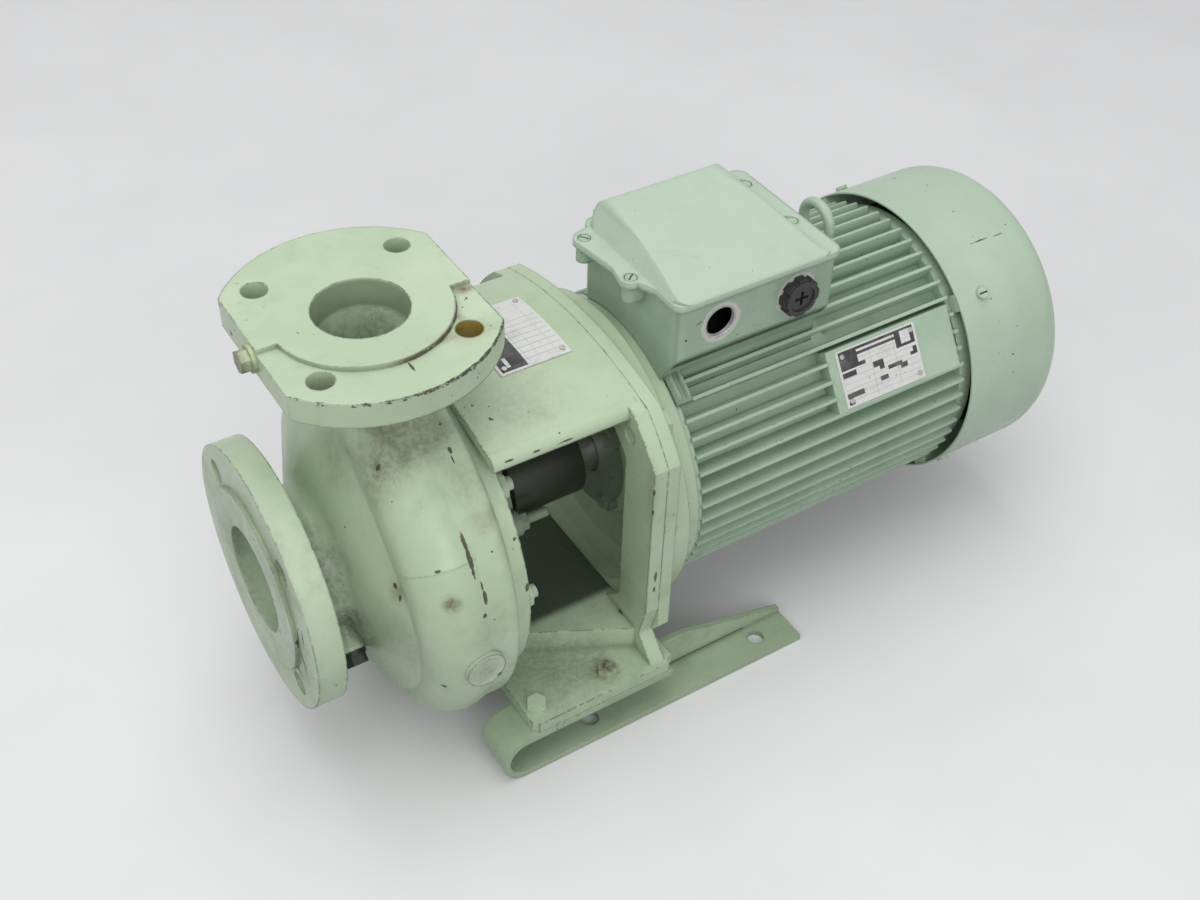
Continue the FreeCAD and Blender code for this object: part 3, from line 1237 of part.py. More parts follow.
def saddle_ridges():
    """Two ridges round the motor at the front of the terminal box's saddle."""
    low, high = s.fin_radius + 0.3, s.fin_radius + 6.0
    start = frame_front + 0.8
    rings = turned([
        (start, low), (start, low + 2.0), (start + 2.0, high), (start + 4.0, high),
        (start + 5.5, high - 3.0), (start + 8.0, high - 3.0), (start + 9.5, high),
        (start + 11.5, high), (start + 14.0, low + 1.5), (start + 14.0, low)])
    return common(rings, block(16.0, s.box_near + s.box_far + 1.0, s.box_bottom, start - 1.0,
                               -s.box_near - 1.0, 60.0))


def box_parts():
    wall = s.box_wall
    outer = plate("YZ_Plane", [
        (-s.box_near, s.box_top), (-s.box_near, s.box_bottom), (-60.0, s.box_bottom - 28.0),
        (-60.0, 60.0), (38.0, 60.0), (38.0, s.box_bottom - 28.0), (s.box_far, s.box_bottom),
        (s.box_far, s.box_top)], s.box_front, s.box_length)
    width = s.box_near + s.box_far
    outer = common(outer, rounded(s.box_length, width, s.box_top - 50.0, BOX_ROUND, s.box_front,
                                  -s.box_near, 50.0))
    frame_outer = s.core_radius + s.frame_wall
    seat = cylinder(frame_outer + s.seat_clearance, s.box_length + 60.0, s.box_front - 30.0)
    # The box clears the shield's collar and the frame's front ring.
    collar = cylinder(s.collar_radius + 1.0, 30.5, frame_front - 30.0)
    front_ring = cylinder(s.collar_radius - 2.7, 9.3, frame_front - 0.3)
    floor_z = s.box_bottom
    hollow = block(s.box_length - 2 * wall, s.box_near + s.box_far - 2 * wall, 80.0,
                   s.box_front + wall, -s.box_near + wall, floor_z)
    middle = s.box_front + s.box_length / 2
    entries = [cylinder(s.entry_radius, wall + 4.0, middle + share * s.entry_spacing,
                        -s.box_near - 2.0, s.entry_height, ALONG_Y) for share in (-0.5, 0.5)]
    front_wall, rear_wall, holes, ear_holes, screws = [], [], [], [], []
    rim_low = s.box_top + GASKET
    rim_high = rim_low + s.lid_rim
    # Two screws stand in front of the box, and two inside its rear wall.
    front_spots = [(s.box_front - 8.5, -30.0), (s.box_front - 11.0, 27.0)]
    rear_spots = [(box_rear - wall - 4.0, -30.0), (box_rear - wall - 4.0, 27.0)]
    for x, y in front_spots:
        front_wall.append(cylinder(6.0, 12.0, x, y, s.box_top - 12.0, UPRIGHT))
        front_wall.append(block(s.box_front + 1.0 - x, 12.0, 12.0, x, y - 6.0, s.box_top - 12.0))
    for x, y in rear_spots:
        rear_wall.append(cylinder(6.0, 12.0, x, y, s.box_top - 12.0, UPRIGHT))
    for x, y in front_spots + rear_spots:
        holes.append(cylinder(2.6, 12.0, x, y, s.box_top - 10.5, UPRIGHT))
        # Each screw head lies sunk in the lid, and the dome makes room for a driver.
        ear_holes.append(fuse(cylinder(3.0, s.lid_rim + 4.0, x, y, rim_low - 2.0, UPRIGHT),
                              cylinder(4.8, 8.0, x, y, rim_high - 3.2, UPRIGHT),
                              cylinder(6.2, 40.0, x, y, rim_high, UPRIGHT)))
        screws.append(fuse(cylinder(2.5, s.lid_rim + GASKET + 9.0, x, y, s.box_top - 9.0,
                                    UPRIGHT),
                           cylinder(4.2, 3.0, x, y, rim_high - 3.2, UPRIGHT)))
    shell = cut(fuse(outer, saddle_ridges(), *front_wall), seat, collar, front_ring, hollow,
                *entries)
    node(cut(fuse(shell, *rear_wall), *holes), "terminal_box")
    gasket = cut(rounded(s.box_length, width, GASKET, BOX_ROUND, s.box_front, -s.box_near,
                         s.box_top),
                 block(s.box_length - 2 * wall, s.box_near + s.box_far - 2 * wall, GASKET + 2.0,
                       s.box_front + wall, -s.box_near + wall, s.box_top - 1.0))
    node(gasket, "lid_gasket")
    near, far = s.box_near + s.lid_lip, s.box_far + s.lid_lip
    front, rear = s.box_front - s.lid_lip, box_rear + s.lid_lip
    rim = rounded(s.box_length + 2 * s.lid_lip, near + far, s.lid_rim, BOX_ROUND + 1.0, front,
                  -near, rim_low)
    dome = lid_dome(near, far, rim_high, s.lid_top, front, rear, 0.0)
    inner = lid_dome(near, far, rim_low, s.lid_top - 3.5, front, rear, 3.5)
    ledge = lid_ledge(front_spots, rim_low)
    shell = cut(fuse(rim, dome, ledge), inner)
    tower = common(lid_dome(near, far, rim_low, s.lid_top, front, rear, 0.0),
                   fuse(*[cylinder(8.5, 40.0, x, y, rim_low, UPRIGHT) for x, y in rear_spots]))
    node(cut(fuse(shell, tower), *ear_holes), "terminal_lid")
    node(group(*screws), "lid_screws")
    board = block(56.0, 46.0, 12.0, middle - 28.0, -46.0, floor_z)
    posts, post_holes = [], []
    for across in (-36.0, -10.0):
        for along in (-18.0, 0.0, 18.0):
            posts.append(fuse(cylinder(2.5, 26.0, middle + along, across, floor_z + 4.0, UPRIGHT),
                              hexagon(5.0, 4.0, middle + along, across, floor_z + 12.0, UPRIGHT)))
            post_holes.append(cylinder(2.5, 9.0, middle + along, across, floor_z + 4.0, UPRIGHT))
    node(cut(board, *post_holes), "terminal_board")
    node(group(*posts), "terminal_posts")
    plug_x = middle + 0.5 * s.entry_spacing
    thread = cylinder(s.entry_radius - s.seat_clearance, wall + 1.0, plug_x, -s.box_near,
                      s.entry_height, ALONG_Y)
    cap_radius, cap_depth = s.entry_radius + 3.0, 7.0
    face = -s.box_near - cap_depth
    cap = cylinder(cap_radius, cap_depth, plug_x, face, s.entry_height, ALONG_Y)
    rim = cylinder(cap_radius - 1.5, cap_depth + 1.2, plug_x, face - 1.2, s.entry_height, ALONG_Y)
    grips = []
    for step in range(8):
        angle = math.radians(22.5 + 45.0 * step)
        grips.append(cylinder(2.4, cap_depth + 3.0, plug_x + cap_radius * math.cos(angle),
                              face - 2.0, s.entry_height + cap_radius * math.sin(angle), ALONG_Y))
    dish = cylinder(cap_radius - 5.0, 1.5, plug_x, face - 1.3, s.entry_height, ALONG_Y)
    slots = [block(12.0, 3.0, 2.4, plug_x - 6.0, face, s.entry_height - 1.2),
             block(2.4, 3.0, 12.0, plug_x - 1.2, face, s.entry_height - 6.0)]
    node(fuse(thread, cut(fuse(cap, rim), dish, *grips, *slots)), "blanking_plug")


GASKET = 1.5
BOX_ROUND = 8.0


def lid_ledge(spots, low):
    """The lid's front ledge, which widens round its two screws."""
    (near_x, near_y), (far_x, far_y) = spots
    return plate("XY_Plane", [
        (s.box_front + 8.0, far_y + 14.0), (far_x - 1.0, far_y + 8.4),
        (far_x - 8.4, far_y - 1.0, 8.5), (far_x - 6.5, far_y - 12.0),
        (near_x - 5.0, near_y + 16.0), (near_x - 8.4, near_y + 1.0),
        (near_x + 1.0, near_y - 8.4, 8.5), (s.box_front + 8.0, -s.box_near + 5.0)],
        low, s.lid_rim)


def lid_dome(near, far, low, high, front, rear, inset):
    """The lid's raised middle, round at its corners when seen from above."""
    plan = rounded(rear - front - 2 * inset - 9.0, near + far - 2 * inset - 3.5, high - low, 13.0,
                   front + inset + 2.0, -near + inset, low)
    return common(lid_slope(near, far, low, high, front, rear, inset),
                  lid_side(near, far, low, high, front, rear, inset), plan)


def lid_slope(near, far, low, high, front, rear, inset):
    """The lid's outline across the motor: a long slope from the near rim to the far side."""
    body = plate("YZ_Plane", [
        (-near + inset, low), (far - inset, low), (far - inset - 7.0, high - 11.0),
        (far - inset - 17.0, high, 12.0), (-near + inset + 3.0, low + 1.5, 500.0)],
        front + inset, rear - front - 2 * inset)
    return body


def lid_side(near, far, low, high, front, rear, inset):
    """The lid's outline along the motor: a steep front and a longer slope at the back."""
    # The sketch plane's normal points to -y, so it starts from the far side.
    body = plate("XZ_Plane", [
        (front + inset + 2.0, low), (front + inset + 9.0, high - 7.0),
        (front + inset + 14.0, high, -9.0), (rear - inset - 47.0, high),
        (rear - inset - 27.0, high - 7.0, -32.0), (rear - inset - 19.0, high - 17.0),
        (rear - inset - 7.0, low, 16.0)],
        -far, near + far)
    return body


def small_parts():
    # The lifting eye is a ring on a collar.
    ring = doc.addObject("Part::Torus", "Ring")
    bind(ring, "Radius1", 15.5)
    bind(ring, "Radius2", 4.2)
    collar_z = s.fin_radius + 1.5
    put(ring, s.eye_station, 0.0, collar_z + 22.0, ALONG_X)
    collar = cylinder(11.0, 5.0, s.eye_station, 0.0, collar_z, UPRIGHT)
    shank = cylinder(5.0, 21.0, s.eye_station, 0.0, collar_z - 12.0, UPRIGHT)
    node(fuse(ring, collar, shank), "lifting_eye")
    # Both nameplates are bare, with a rivet in each corner.
    rivets = []
    front = frame_rear - 118.0
    motor_plate = land(PLATE_WIDTH, s.land_distance + PLATE_THICK, front, PLATE_LENGTH,
                       s.land_distance)
    out = s.land_distance + PLATE_THICK
    spin = FreeCAD.Rotation(FreeCAD.Vector(1, 0, 0), LAND_ANGLE)
    for along in (5.0, PLATE_LENGTH - 5.0):
        for across in (-1.0, 1.0):
            side = across * (PLATE_WIDTH / 2 - 5.0)
            y, z = polar(out, LAND_ANGLE)
            rivets.append(cylinder(2.0, 1.2, front + along,
                                   y + side * math.cos(math.radians(LAND_ANGLE)),
                                   z + side * math.sin(math.radians(LAND_ANGLE)), spin))
    node(motor_plate, "motor_nameplate")
    near, far = 31.0, 45.0
    top, skin = s.crown_radius + PLATE_GAP, s.crown_radius + PLATE_GAP + PLATE_THICK
    centre = s.flange_top - s.crown_radius

    def crown(radius, side):
        return centre + root(radius * radius - side * side)

    start, length = lantern_front + 45.5, 56.5
    pump_plate = plate("YZ_Plane", [
        (far, crown(top, far), -top), (far, crown(skin, far)),
        (-near, crown(skin, near), skin), (-near, crown(top, near))], start, length)
    node(pump_plate, "pump_nameplate")
    for along in (5.0, length - 5.0):
        for side in (5.0 - near, far - 5.0):
            tilt = -math.degrees(math.asin(side / skin.value))
            spin = FreeCAD.Rotation(FreeCAD.Vector(1, 0, 0), tilt)
            rivets.append(cylinder(2.0, 1.2, start + along, side, crown(skin, side), spin))
    node(group(*rivets), "nameplate_rivets")
    # Hexagon plugs in the outlet flange and in the boss under the suction neck.
    flat = s.outlet_x - s.outlet_flat
    height = s.outlet_height - s.outlet_thick / 2
    node(fuse(cylinder(OUTLET_PLUG, OUTLET_PLUG_DEPTH, flat, 0.0, height),
              cylinder(OUTLET_PLUG + 3.0, 3.0, flat - 3.0, 0.0, height),
              hexagon(OUTLET_PLUG + 1.5, 7.0, flat - 10.0, 0.0, height)), "outlet_plug")
    spin = FreeCAD.Rotation(FreeCAD.Vector(1, 0, 0), 129.0)
    face = s.neck_radius + GAUGE_STAND
    y, z = polar(face - 12.0, 129.0)
    thread = cylinder(GAUGE_PLUG, 12.0, GAUGE_X, y, z, spin)
    y, z = polar(face, 129.0)
    collar = cylinder(GAUGE_BOSS - 0.5, 3.5, GAUGE_X, y, z, spin)
    y, z = polar(face + 3.5, 129.0)
    head = hexagon(GAUGE_PLUG + 1.5, 7.0, GAUGE_X, y, z, spin)
    node(fuse(thread, collar, head), "gauge_plug")


# Build, check and write


def check(objects):
    """Stop on any object that failed, before a file is written."""
    for obj in objects:
        if "Invalid" in obj.State or "Error" in obj.State:
            raise RuntimeError(f"{obj.Label} failed: {obj.State}")


def write_parts():
    os.makedirs("parts", exist_ok=True)
    for obj in NODES:
        shape = obj.Shape
        if shape.isNull() or not shape.isValid() or not shape.Solids:
            raise RuntimeError(obj.Label + " has no valid solid")
        shape.exportStep(f"parts/{obj.Label}.step")
        print(obj.Label, len(shape.Solids), round(shape.Volume / 1000.0, 2), "cm3")


pump_casing_parts()
stud_parts()
rotating_pump_parts()
gland_parts()
node(lantern(), "lantern")
base_parts()
motor_parts()
fan_end_parts()
box_parts()
small_parts()
doc.recompute()
check(doc.Objects)
write_parts()
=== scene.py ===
import bmesh
import bpy
import json
import math
from mathutils import Matrix, Vector


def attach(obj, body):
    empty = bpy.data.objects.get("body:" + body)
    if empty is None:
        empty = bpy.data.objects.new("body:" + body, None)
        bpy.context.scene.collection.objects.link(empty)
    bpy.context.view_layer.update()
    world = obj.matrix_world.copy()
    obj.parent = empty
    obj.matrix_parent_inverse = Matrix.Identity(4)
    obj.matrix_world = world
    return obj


# A close-coupled centrifugal pump: paint, metal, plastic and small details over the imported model.
# Lengths are in metres in the model's own frame: +X towards the motor, -Y towards the viewer.

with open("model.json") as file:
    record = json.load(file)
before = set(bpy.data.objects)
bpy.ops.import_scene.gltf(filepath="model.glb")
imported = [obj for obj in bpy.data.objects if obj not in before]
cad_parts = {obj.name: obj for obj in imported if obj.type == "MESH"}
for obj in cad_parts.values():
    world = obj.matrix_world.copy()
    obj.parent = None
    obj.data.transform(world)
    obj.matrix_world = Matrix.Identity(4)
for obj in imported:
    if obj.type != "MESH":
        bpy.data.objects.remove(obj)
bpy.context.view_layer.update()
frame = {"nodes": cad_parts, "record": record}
NODES = frame["nodes"]
SHAFT = 0.16


class Net:
    """A material with short calls that add its shader nodes."""

    def __init__(self, name):
        self.material = bpy.data.materials.new(name)
        self.material.use_nodes = True
        self.tree = self.material.node_tree
        self.tree.nodes.clear()
        self.place = self.add("ShaderNodeTexCoord").outputs["Object"]

    def add(self, kind, settings=(), **inputs):
        item = self.tree.nodes.new(kind)
        for key, value in dict(settings).items():
            setattr(item, key, value)
        for key, value in inputs.items():
            self.feed(item.inputs[key.replace("_", " ")], value)
        return item

    def feed(self, socket, value):
        if isinstance(value, bpy.types.NodeSocket):
            self.tree.links.new(value, socket)
        else:
            socket.default_value = value

    def math(self, operation, a, b=0.0, clamp=False, c=0.0):
        item = self.add("ShaderNodeMath", {"operation": operation, "use_clamp": clamp})
        self.feed(item.inputs[0], a)
        self.feed(item.inputs[1], b)
        self.feed(item.inputs[2], c)
        return item.outputs[0]

    def ramp(self, value, low, high, to_low=0.0, to_high=1.0):
        item = self.add("ShaderNodeMapRange", {"interpolation_type": "SMOOTHSTEP"}, Value=value)
        for index, number in enumerate((low, high, to_low, to_high), start=1):
            item.inputs[index].default_value = number
        return item.outputs[0]

    def noise(self, scale, detail=3.0, roughness=0.55, place=None, distortion=0.0):
        return self.add("ShaderNodeTexNoise", Vector=place or self.place, Scale=scale,
                        Detail=detail, Roughness=roughness, Distortion=distortion).outputs[0]

    def mix(self, factor, a, b):
        item = self.add("ShaderNodeMix", {"data_type": "RGBA"})
        self.feed(item.inputs[0], factor)
        self.feed(item.inputs[6], a)
        self.feed(item.inputs[7], b)
        return item.outputs[2]

    def stretched(self, sx, sy, sz):
        item = self.add("ShaderNodeMapping", Vector=self.place)
        item.inputs["Scale"].default_value = (sx, sy, sz)
        return item.outputs[0]

    def along(self, direction, origin=(0.0, 0.0, 0.0)):
        """Distance from the origin along a direction."""
        item = self.add("ShaderNodeVectorMath", {"operation": "DOT_PRODUCT"}, Vector=self.place)
        item.inputs[1].default_value = direction
        start = sum(a * b for a, b in zip(direction, origin))
        return self.math("SUBTRACT", item.outputs["Value"], start)

    def blot(self, centre, size, rough=0.35, scale=60.0, turn=0.0):
        """1 inside an uneven blot round a point, 0 outside. Size gives its three half lengths."""
        shift = self.add("ShaderNodeMapping", {"vector_type": "TEXTURE"}, Vector=self.place)
        shift.inputs["Location"].default_value = centre
        shift.inputs["Rotation"].default_value = (math.radians(turn), 0.0, 0.0)
        shift.inputs["Scale"].default_value = size
        length = self.add("ShaderNodeVectorMath", {"operation": "LENGTH"})
        self.feed(length.inputs[0], shift.outputs[0])
        wander = self.math("MULTIPLY", self.noise(scale, 4.0, 0.65), rough * 4.0)
        value = self.math("ADD", length.outputs["Value"], wander)
        return self.ramp(value, 1.0 + rough * 2.0, 0.75 + rough * 2.0)

    def chamber(self, centre, half, soft=0.002):
        """1 inside a box, 0 outside, with a soft edge."""
        shift = self.add("ShaderNodeVectorMath", {"operation": "SUBTRACT"}, Vector=self.place)
        shift.inputs[1].default_value = centre
        split = self.add("ShaderNodeSeparateXYZ", Vector=shift.outputs[0])
        total = 1.0
        for index, reach in enumerate(half):
            away = self.math("ABSOLUTE", split.outputs[index])
            total = self.math("MULTIPLY", total, self.ramp(away, reach + soft, reach - soft))
        return total

    def ring(self, centre, radius, width, low, high, start=-0.012):
        """1 along an upright cylinder's wall between two heights, thick and thin by turns.

        Nearer than start to the centre along X, it fades to a trace."""
        shift = self.add("ShaderNodeVectorMath", {"operation": "SUBTRACT"}, Vector=self.place)
        shift.inputs[1].default_value = centre
        split = self.add("ShaderNodeSeparateXYZ", Vector=shift.outputs[0])
        flat = self.add("ShaderNodeCombineXYZ", X=split.outputs[0], Y=split.outputs[1])
        length = self.add("ShaderNodeVectorMath", {"operation": "LENGTH"})
        self.feed(length.inputs[0], flat.outputs[0])
        away = self.math("ABSOLUTE", self.math("SUBTRACT", length.outputs["Value"], radius))
        away = self.math("ADD", away, self.math("MULTIPLY", self.noise(90.0, 4.0, 0.7), 0.003))
        near = self.ramp(away, width + 0.0017, width + 0.0013)
        near = self.math("MULTIPLY", near, self.ramp(split.outputs[0], start, start + 0.018, 0.18, 1.0))
        tall = self.math("COMPARE", split.outputs[2], (low + high) / 2, c=(high - low) / 2)
        return self.math("MULTIPLY", near, tall)

    def haze(self, centre, size, scale=38.0):
        """A soft, cloudy patch round a point, used for soiling, wear and painted shade: 1 at its middle,
        fading to 0 at its half lengths.
        """
        shift = self.add("ShaderNodeMapping", {"vector_type": "TEXTURE"}, Vector=self.place)
        shift.inputs["Location"].default_value = centre
        shift.inputs["Scale"].default_value = size
        length = self.add("ShaderNodeVectorMath", {"operation": "LENGTH"})
        self.feed(length.inputs[0], shift.outputs[0])
        cloud = self.noise(scale, 6.0, 0.75, distortion=0.5)
        value = self.math("ADD", length.outputs["Value"], self.math("MULTIPLY", cloud, 1.2))
        return self.ramp(value, 1.65, 0.65)

    def edges(self, radius=0.0012, reach=0.006):
        """Worn outer edges and corners darkened by soiling and painted shade, each from 0 to 1, and a
        rounded normal.
        """
        rounded = self.add("ShaderNodeBevel", {"samples": 4}, Radius=radius).outputs[0]
        flat = self.add("ShaderNodeNewGeometry").outputs["Normal"]
        dot = self.add("ShaderNodeVectorMath", {"operation": "DOT_PRODUCT"})
        self.feed(dot.inputs[0], rounded)
        self.feed(dot.inputs[1], flat)
        # Occlusion finds the corners that get darkened as soiling and painted shade.
        hidden = self.add("ShaderNodeAmbientOcclusion", {"samples": 4, "only_local": True},
                          Distance=reach).outputs["AO"]
        turn = self.ramp(dot.outputs["Value"], 0.985, 0.90)
        outer = self.math("MULTIPLY", turn, self.ramp(hidden, 0.55, 0.85))
        return outer, self.ramp(hidden, 0.88, 0.35), rounded

    def finish(self, colour, roughness, normal=None, metallic=0.0, specular=0.5, coat=0.0):
        surface = self.add("ShaderNodeBsdfPrincipled")
        self.feed(surface.inputs["Base Color"], colour)
        self.feed(surface.inputs["Roughness"], roughness)
        self.feed(surface.inputs["Metallic"], metallic)
        surface.inputs["Specular IOR Level"].default_value = specular
        surface.inputs["Coat Weight"].default_value = coat
        if normal is not None:
            self.feed(surface.inputs["Normal"], normal)
        out = self.add("ShaderNodeOutputMaterial")
        self.tree.links.new(surface.outputs[0], out.inputs[0])
        return self.material


def rgb(red, green, blue):
    return (red, green, blue, 1.0)


def bump(net, height, strength, distance, normal=None):
    item = net.add("ShaderNodeBump", Height=height, Strength=strength, Distance=distance)
    if normal is not None:
        net.feed(item.inputs["Normal"], normal)
    return item.outputs[0]


IRON = rgb(0.040, 0.040, 0.030)
RUST = rgb(0.105, 0.058, 0.036)
SCALE = rgb(0.085, 0.060, 0.035)
# A dark olive soiling tone, also used as painted shade in corners, under flanges and in the outlet bore.
GRIME_AND_SHADE = rgb(0.080, 0.092, 0.055)
BROWN = rgb(0.180, 0.120, 0.060)
OLIVE = rgb(0.165, 0.185, 0.100)
YELLOW = rgb(0.290, 0.185, 0.008)
# Painted shade: near black for the dark inside of the lantern and of the terminal box.
SHADE_BLACK = rgb(0.018, 0.020, 0.016)
# Painted shade: a dim green that darkens shaded faces, the lantern's foot and the outlet bore.
SHADE_GREEN = rgb(0.150, 0.200, 0.120)


def paint(name, base, pale, deep, radius=0.0018, chips=0.82, grain=0.30, scars=(), stains_and_shade=(),
          dirt_and_shade=0.5, rings=(), hollow_tints_and_shade=(), lines=(), rubbed=(),
          rims=()):
    """Old brushed enamel over cast metal: tones that drift, chipped edges, marks, soiling, and painted
    shade in corners and recesses.

    scars are dark chips (centre, half lengths, turn), stains soft patches of soiling and of painted
    shade (centre, half lengths, strength, tone), rings rubbed walls (centre, inside, outside), hollows
    tinted boxes for rust and for painted shade (centre, half lengths, strength, softness, tone), lines
    dirty steps, rubbed areas whose edges chip more, and rims round edges with ragged chips."""
    net = Net(name)
    outer, corner_dirt_and_shade, rounded = net.edges(radius, 0.009)
    drift = net.noise(6.0, 4.0, 0.6)
    fine = net.noise(32.0, 4.0, 0.65)
    colour = net.mix(net.ramp(drift, 0.40, 0.64), base, pale)
    colour = net.mix(net.ramp(fine, 0.48, 0.78, 0.0, 0.55), colour, deep)
    worn = net.math("MULTIPLY", outer, net.ramp(fine, 0.40, 0.60, 0.15, 0.55))
    colour = net.mix(worn, colour, pale)
    # Painted shade with soiling: corners and recesses darker where occlusion finds them, plus dirty
    # streaks.
    corner_grime_and_shade = net.math("MULTIPLY", corner_dirt_and_shade, dirt_and_shade)
    streak = net.ramp(net.noise(15.0, 6.0, 0.72, distortion=0.8), 0.58, 0.80, 0.0, 0.42 * dirt_and_shade)
    colour = net.mix(net.math("MAXIMUM", corner_grime_and_shade, streak), colour, GRIME_AND_SHADE)
    patch = net.noise(11.0, 2.0, 0.5)
    crumbs = net.noise(210.0, 3.0, 0.7)
    total = net.math("ADD", net.math("MULTIPLY", outer, 0.46), net.math("MULTIPLY", crumbs, 0.52))
    total = net.math("ADD", total, net.math("MULTIPLY", patch, 0.36))
    for centre, size, amount in rubbed:
        near = net.math("MULTIPLY", net.haze(centre, size, 20.0), outer)
        total = net.math("ADD", total, net.math("MULTIPLY", near, amount))
    chipped = net.ramp(total, chips + 0.115, chips + 0.140)
    specks = net.ramp(net.math("ADD", net.noise(150.0, 3.0, 0.6),
                               net.math("MULTIPLY", patch, 0.30)), 0.882, 0.900)
    chipped = net.math("MAXIMUM", chipped, specks)
    for rim in rims:
        ragged = net.ramp(net.math("ADD", crumbs, net.math("MULTIPLY", patch, 0.5)), 0.765, 0.790)
        band = net.math("MULTIPLY", net.ring(*rim), ragged)
        chipped = net.math("MAXIMUM", chipped, band)
    for centre, size, turn in scars:
        chipped = net.math("MAXIMUM", chipped, net.blot(centre, size, 0.45, 190.0, turn))
    # Soft patches: soiling and rust, and some painted shade under flanges, in recesses and on shaded faces.
    for centre, size, strength, tone in stains_and_shade:
        speckle = net.ramp(net.noise(230.0, 3.0, 0.7), 0.35, 0.62, 0.55, 1.0)
        stain_and_shade = net.math("MULTIPLY", net.haze(centre, size), strength)
        stain_and_shade = net.math("MULTIPLY", stain_and_shade, speckle)
        colour = net.mix(stain_and_shade, colour, tone)
    for centre, inside, outside in rings:
        # A pale ring where a fitting rubbed the paint off a wall that faces the viewer.
        reach = net.add("ShaderNodeVectorMath", {"operation": "DISTANCE"}, Vector=net.place)
        reach.inputs[1].default_value = centre
        wander = net.math("MULTIPLY", net.noise(260.0, 3.0, 0.6), 0.004)
        distance = net.math("ADD", reach.outputs["Value"], wander)
        ring = net.math("MULTIPLY", net.ramp(distance, outside + 0.0026, outside + 0.0014),
                        net.ramp(distance, inside, inside + 0.001))
        colour = net.mix(net.math("MULTIPLY", ring, 0.8), colour, rgb(0.60, 0.60, 0.55))
    # Tinted boxes: rust in a bolt hole, and painted shade in dark recesses.
    for centre, half, strength, soft, tone in hollow_tints_and_shade:
        within = net.math("MULTIPLY", net.chamber(centre, half, soft), strength)
        colour = net.mix(within, colour, tone)
    for line in lines:
        colour = net.mix(net.math("MULTIPLY", net.ring(*line), 0.85), colour, SCALE)
    bare = net.mix(net.ramp(net.noise(40.0, 3.0), 0.50, 0.66), IRON, RUST)
    colour = net.mix(net.math("MULTIPLY", chipped, 0.92), colour, bare)
    rough = net.ramp(fine, 0.3, 0.75, 0.26, 0.42)
    rough = net.math("ADD", rough, net.math("MULTIPLY", chipped, 0.3))
    rough = net.math("ADD", rough, net.math("MULTIPLY", corner_grime_and_shade, 0.25))
    lumps = net.noise(48.0, 3.0, 0.5)
    peel = net.noise(360.0, 2.0, 0.5)
    height = net.math("ADD", net.math("MULTIPLY", lumps, 0.8), net.math("MULTIPLY", peel, 0.16))
    height = net.math("SUBTRACT", height, net.math("MULTIPLY", chipped, 0.30))
    return net.finish(colour, rough, bump(net, height, grain, 0.0012, rounded), specular=0.45)


def metal(name, light, dark, rough=0.35, scale=60.0, rust=0.0, marks=0.3):
    """Turned or plated metal with fine marks, dull patches and a little rust."""
    net = Net(name)
    outer, corner_dirt_and_shade, rounded = net.edges(0.0006, 0.004)
    dull = net.noise(scale, 4.0, 0.6)
    colour = net.mix(net.ramp(dull, 0.35, 0.7), light, dark)
    # Painted shade: corners and recesses darkened to near black where occlusion finds them.
    colour = net.mix(net.math("MULTIPLY", corner_dirt_and_shade, 0.6), colour, rgb(0.03, 0.028, 0.025))
    spread = net.math("MULTIPLY", net.ramp(net.noise(90.0, 4.0, 0.65), 0.50, 0.68), rust)
    colour = net.mix(spread, colour, RUST)
    colour = net.mix(net.math("MULTIPLY", outer, 0.4), colour, light)
    lines = net.noise(260.0, 2.0, 0.5, net.stretched(1.0, 6.0, 6.0))
    roughness = net.math("ADD", net.ramp(dull, 0.3, 0.7, rough, rough + 0.18),
                         net.math("MULTIPLY", spread, 0.3))
    shine = net.math("SUBTRACT", 1.0, spread, True)
    return net.finish(colour, roughness, bump(net, lines, marks, 0.0003, rounded), shine)


def plastic(name, base, pale, rough=0.45, grain=500.0):
    """Moulded plastic or rubber with a fine grain, pale scuffs and rubbed edges."""
    net = Net(name)
    outer, _, rounded = net.edges(0.0006, 0.004)
    scuff = net.ramp(net.noise(45.0, 5.0, 0.7), 0.55, 0.75)
    colour = net.mix(net.math("MULTIPLY", scuff, 0.5), base, pale)
    colour = net.mix(net.math("MULTIPLY", outer, 0.35), colour, pale)
    skin = net.noise(grain, 2.0, 0.5)
    roughness = net.ramp(scuff, 0.0, 1.0, rough, rough + 0.2)
    return net.finish(colour, roughness, bump(net, skin, 0.15, 0.0003, rounded))


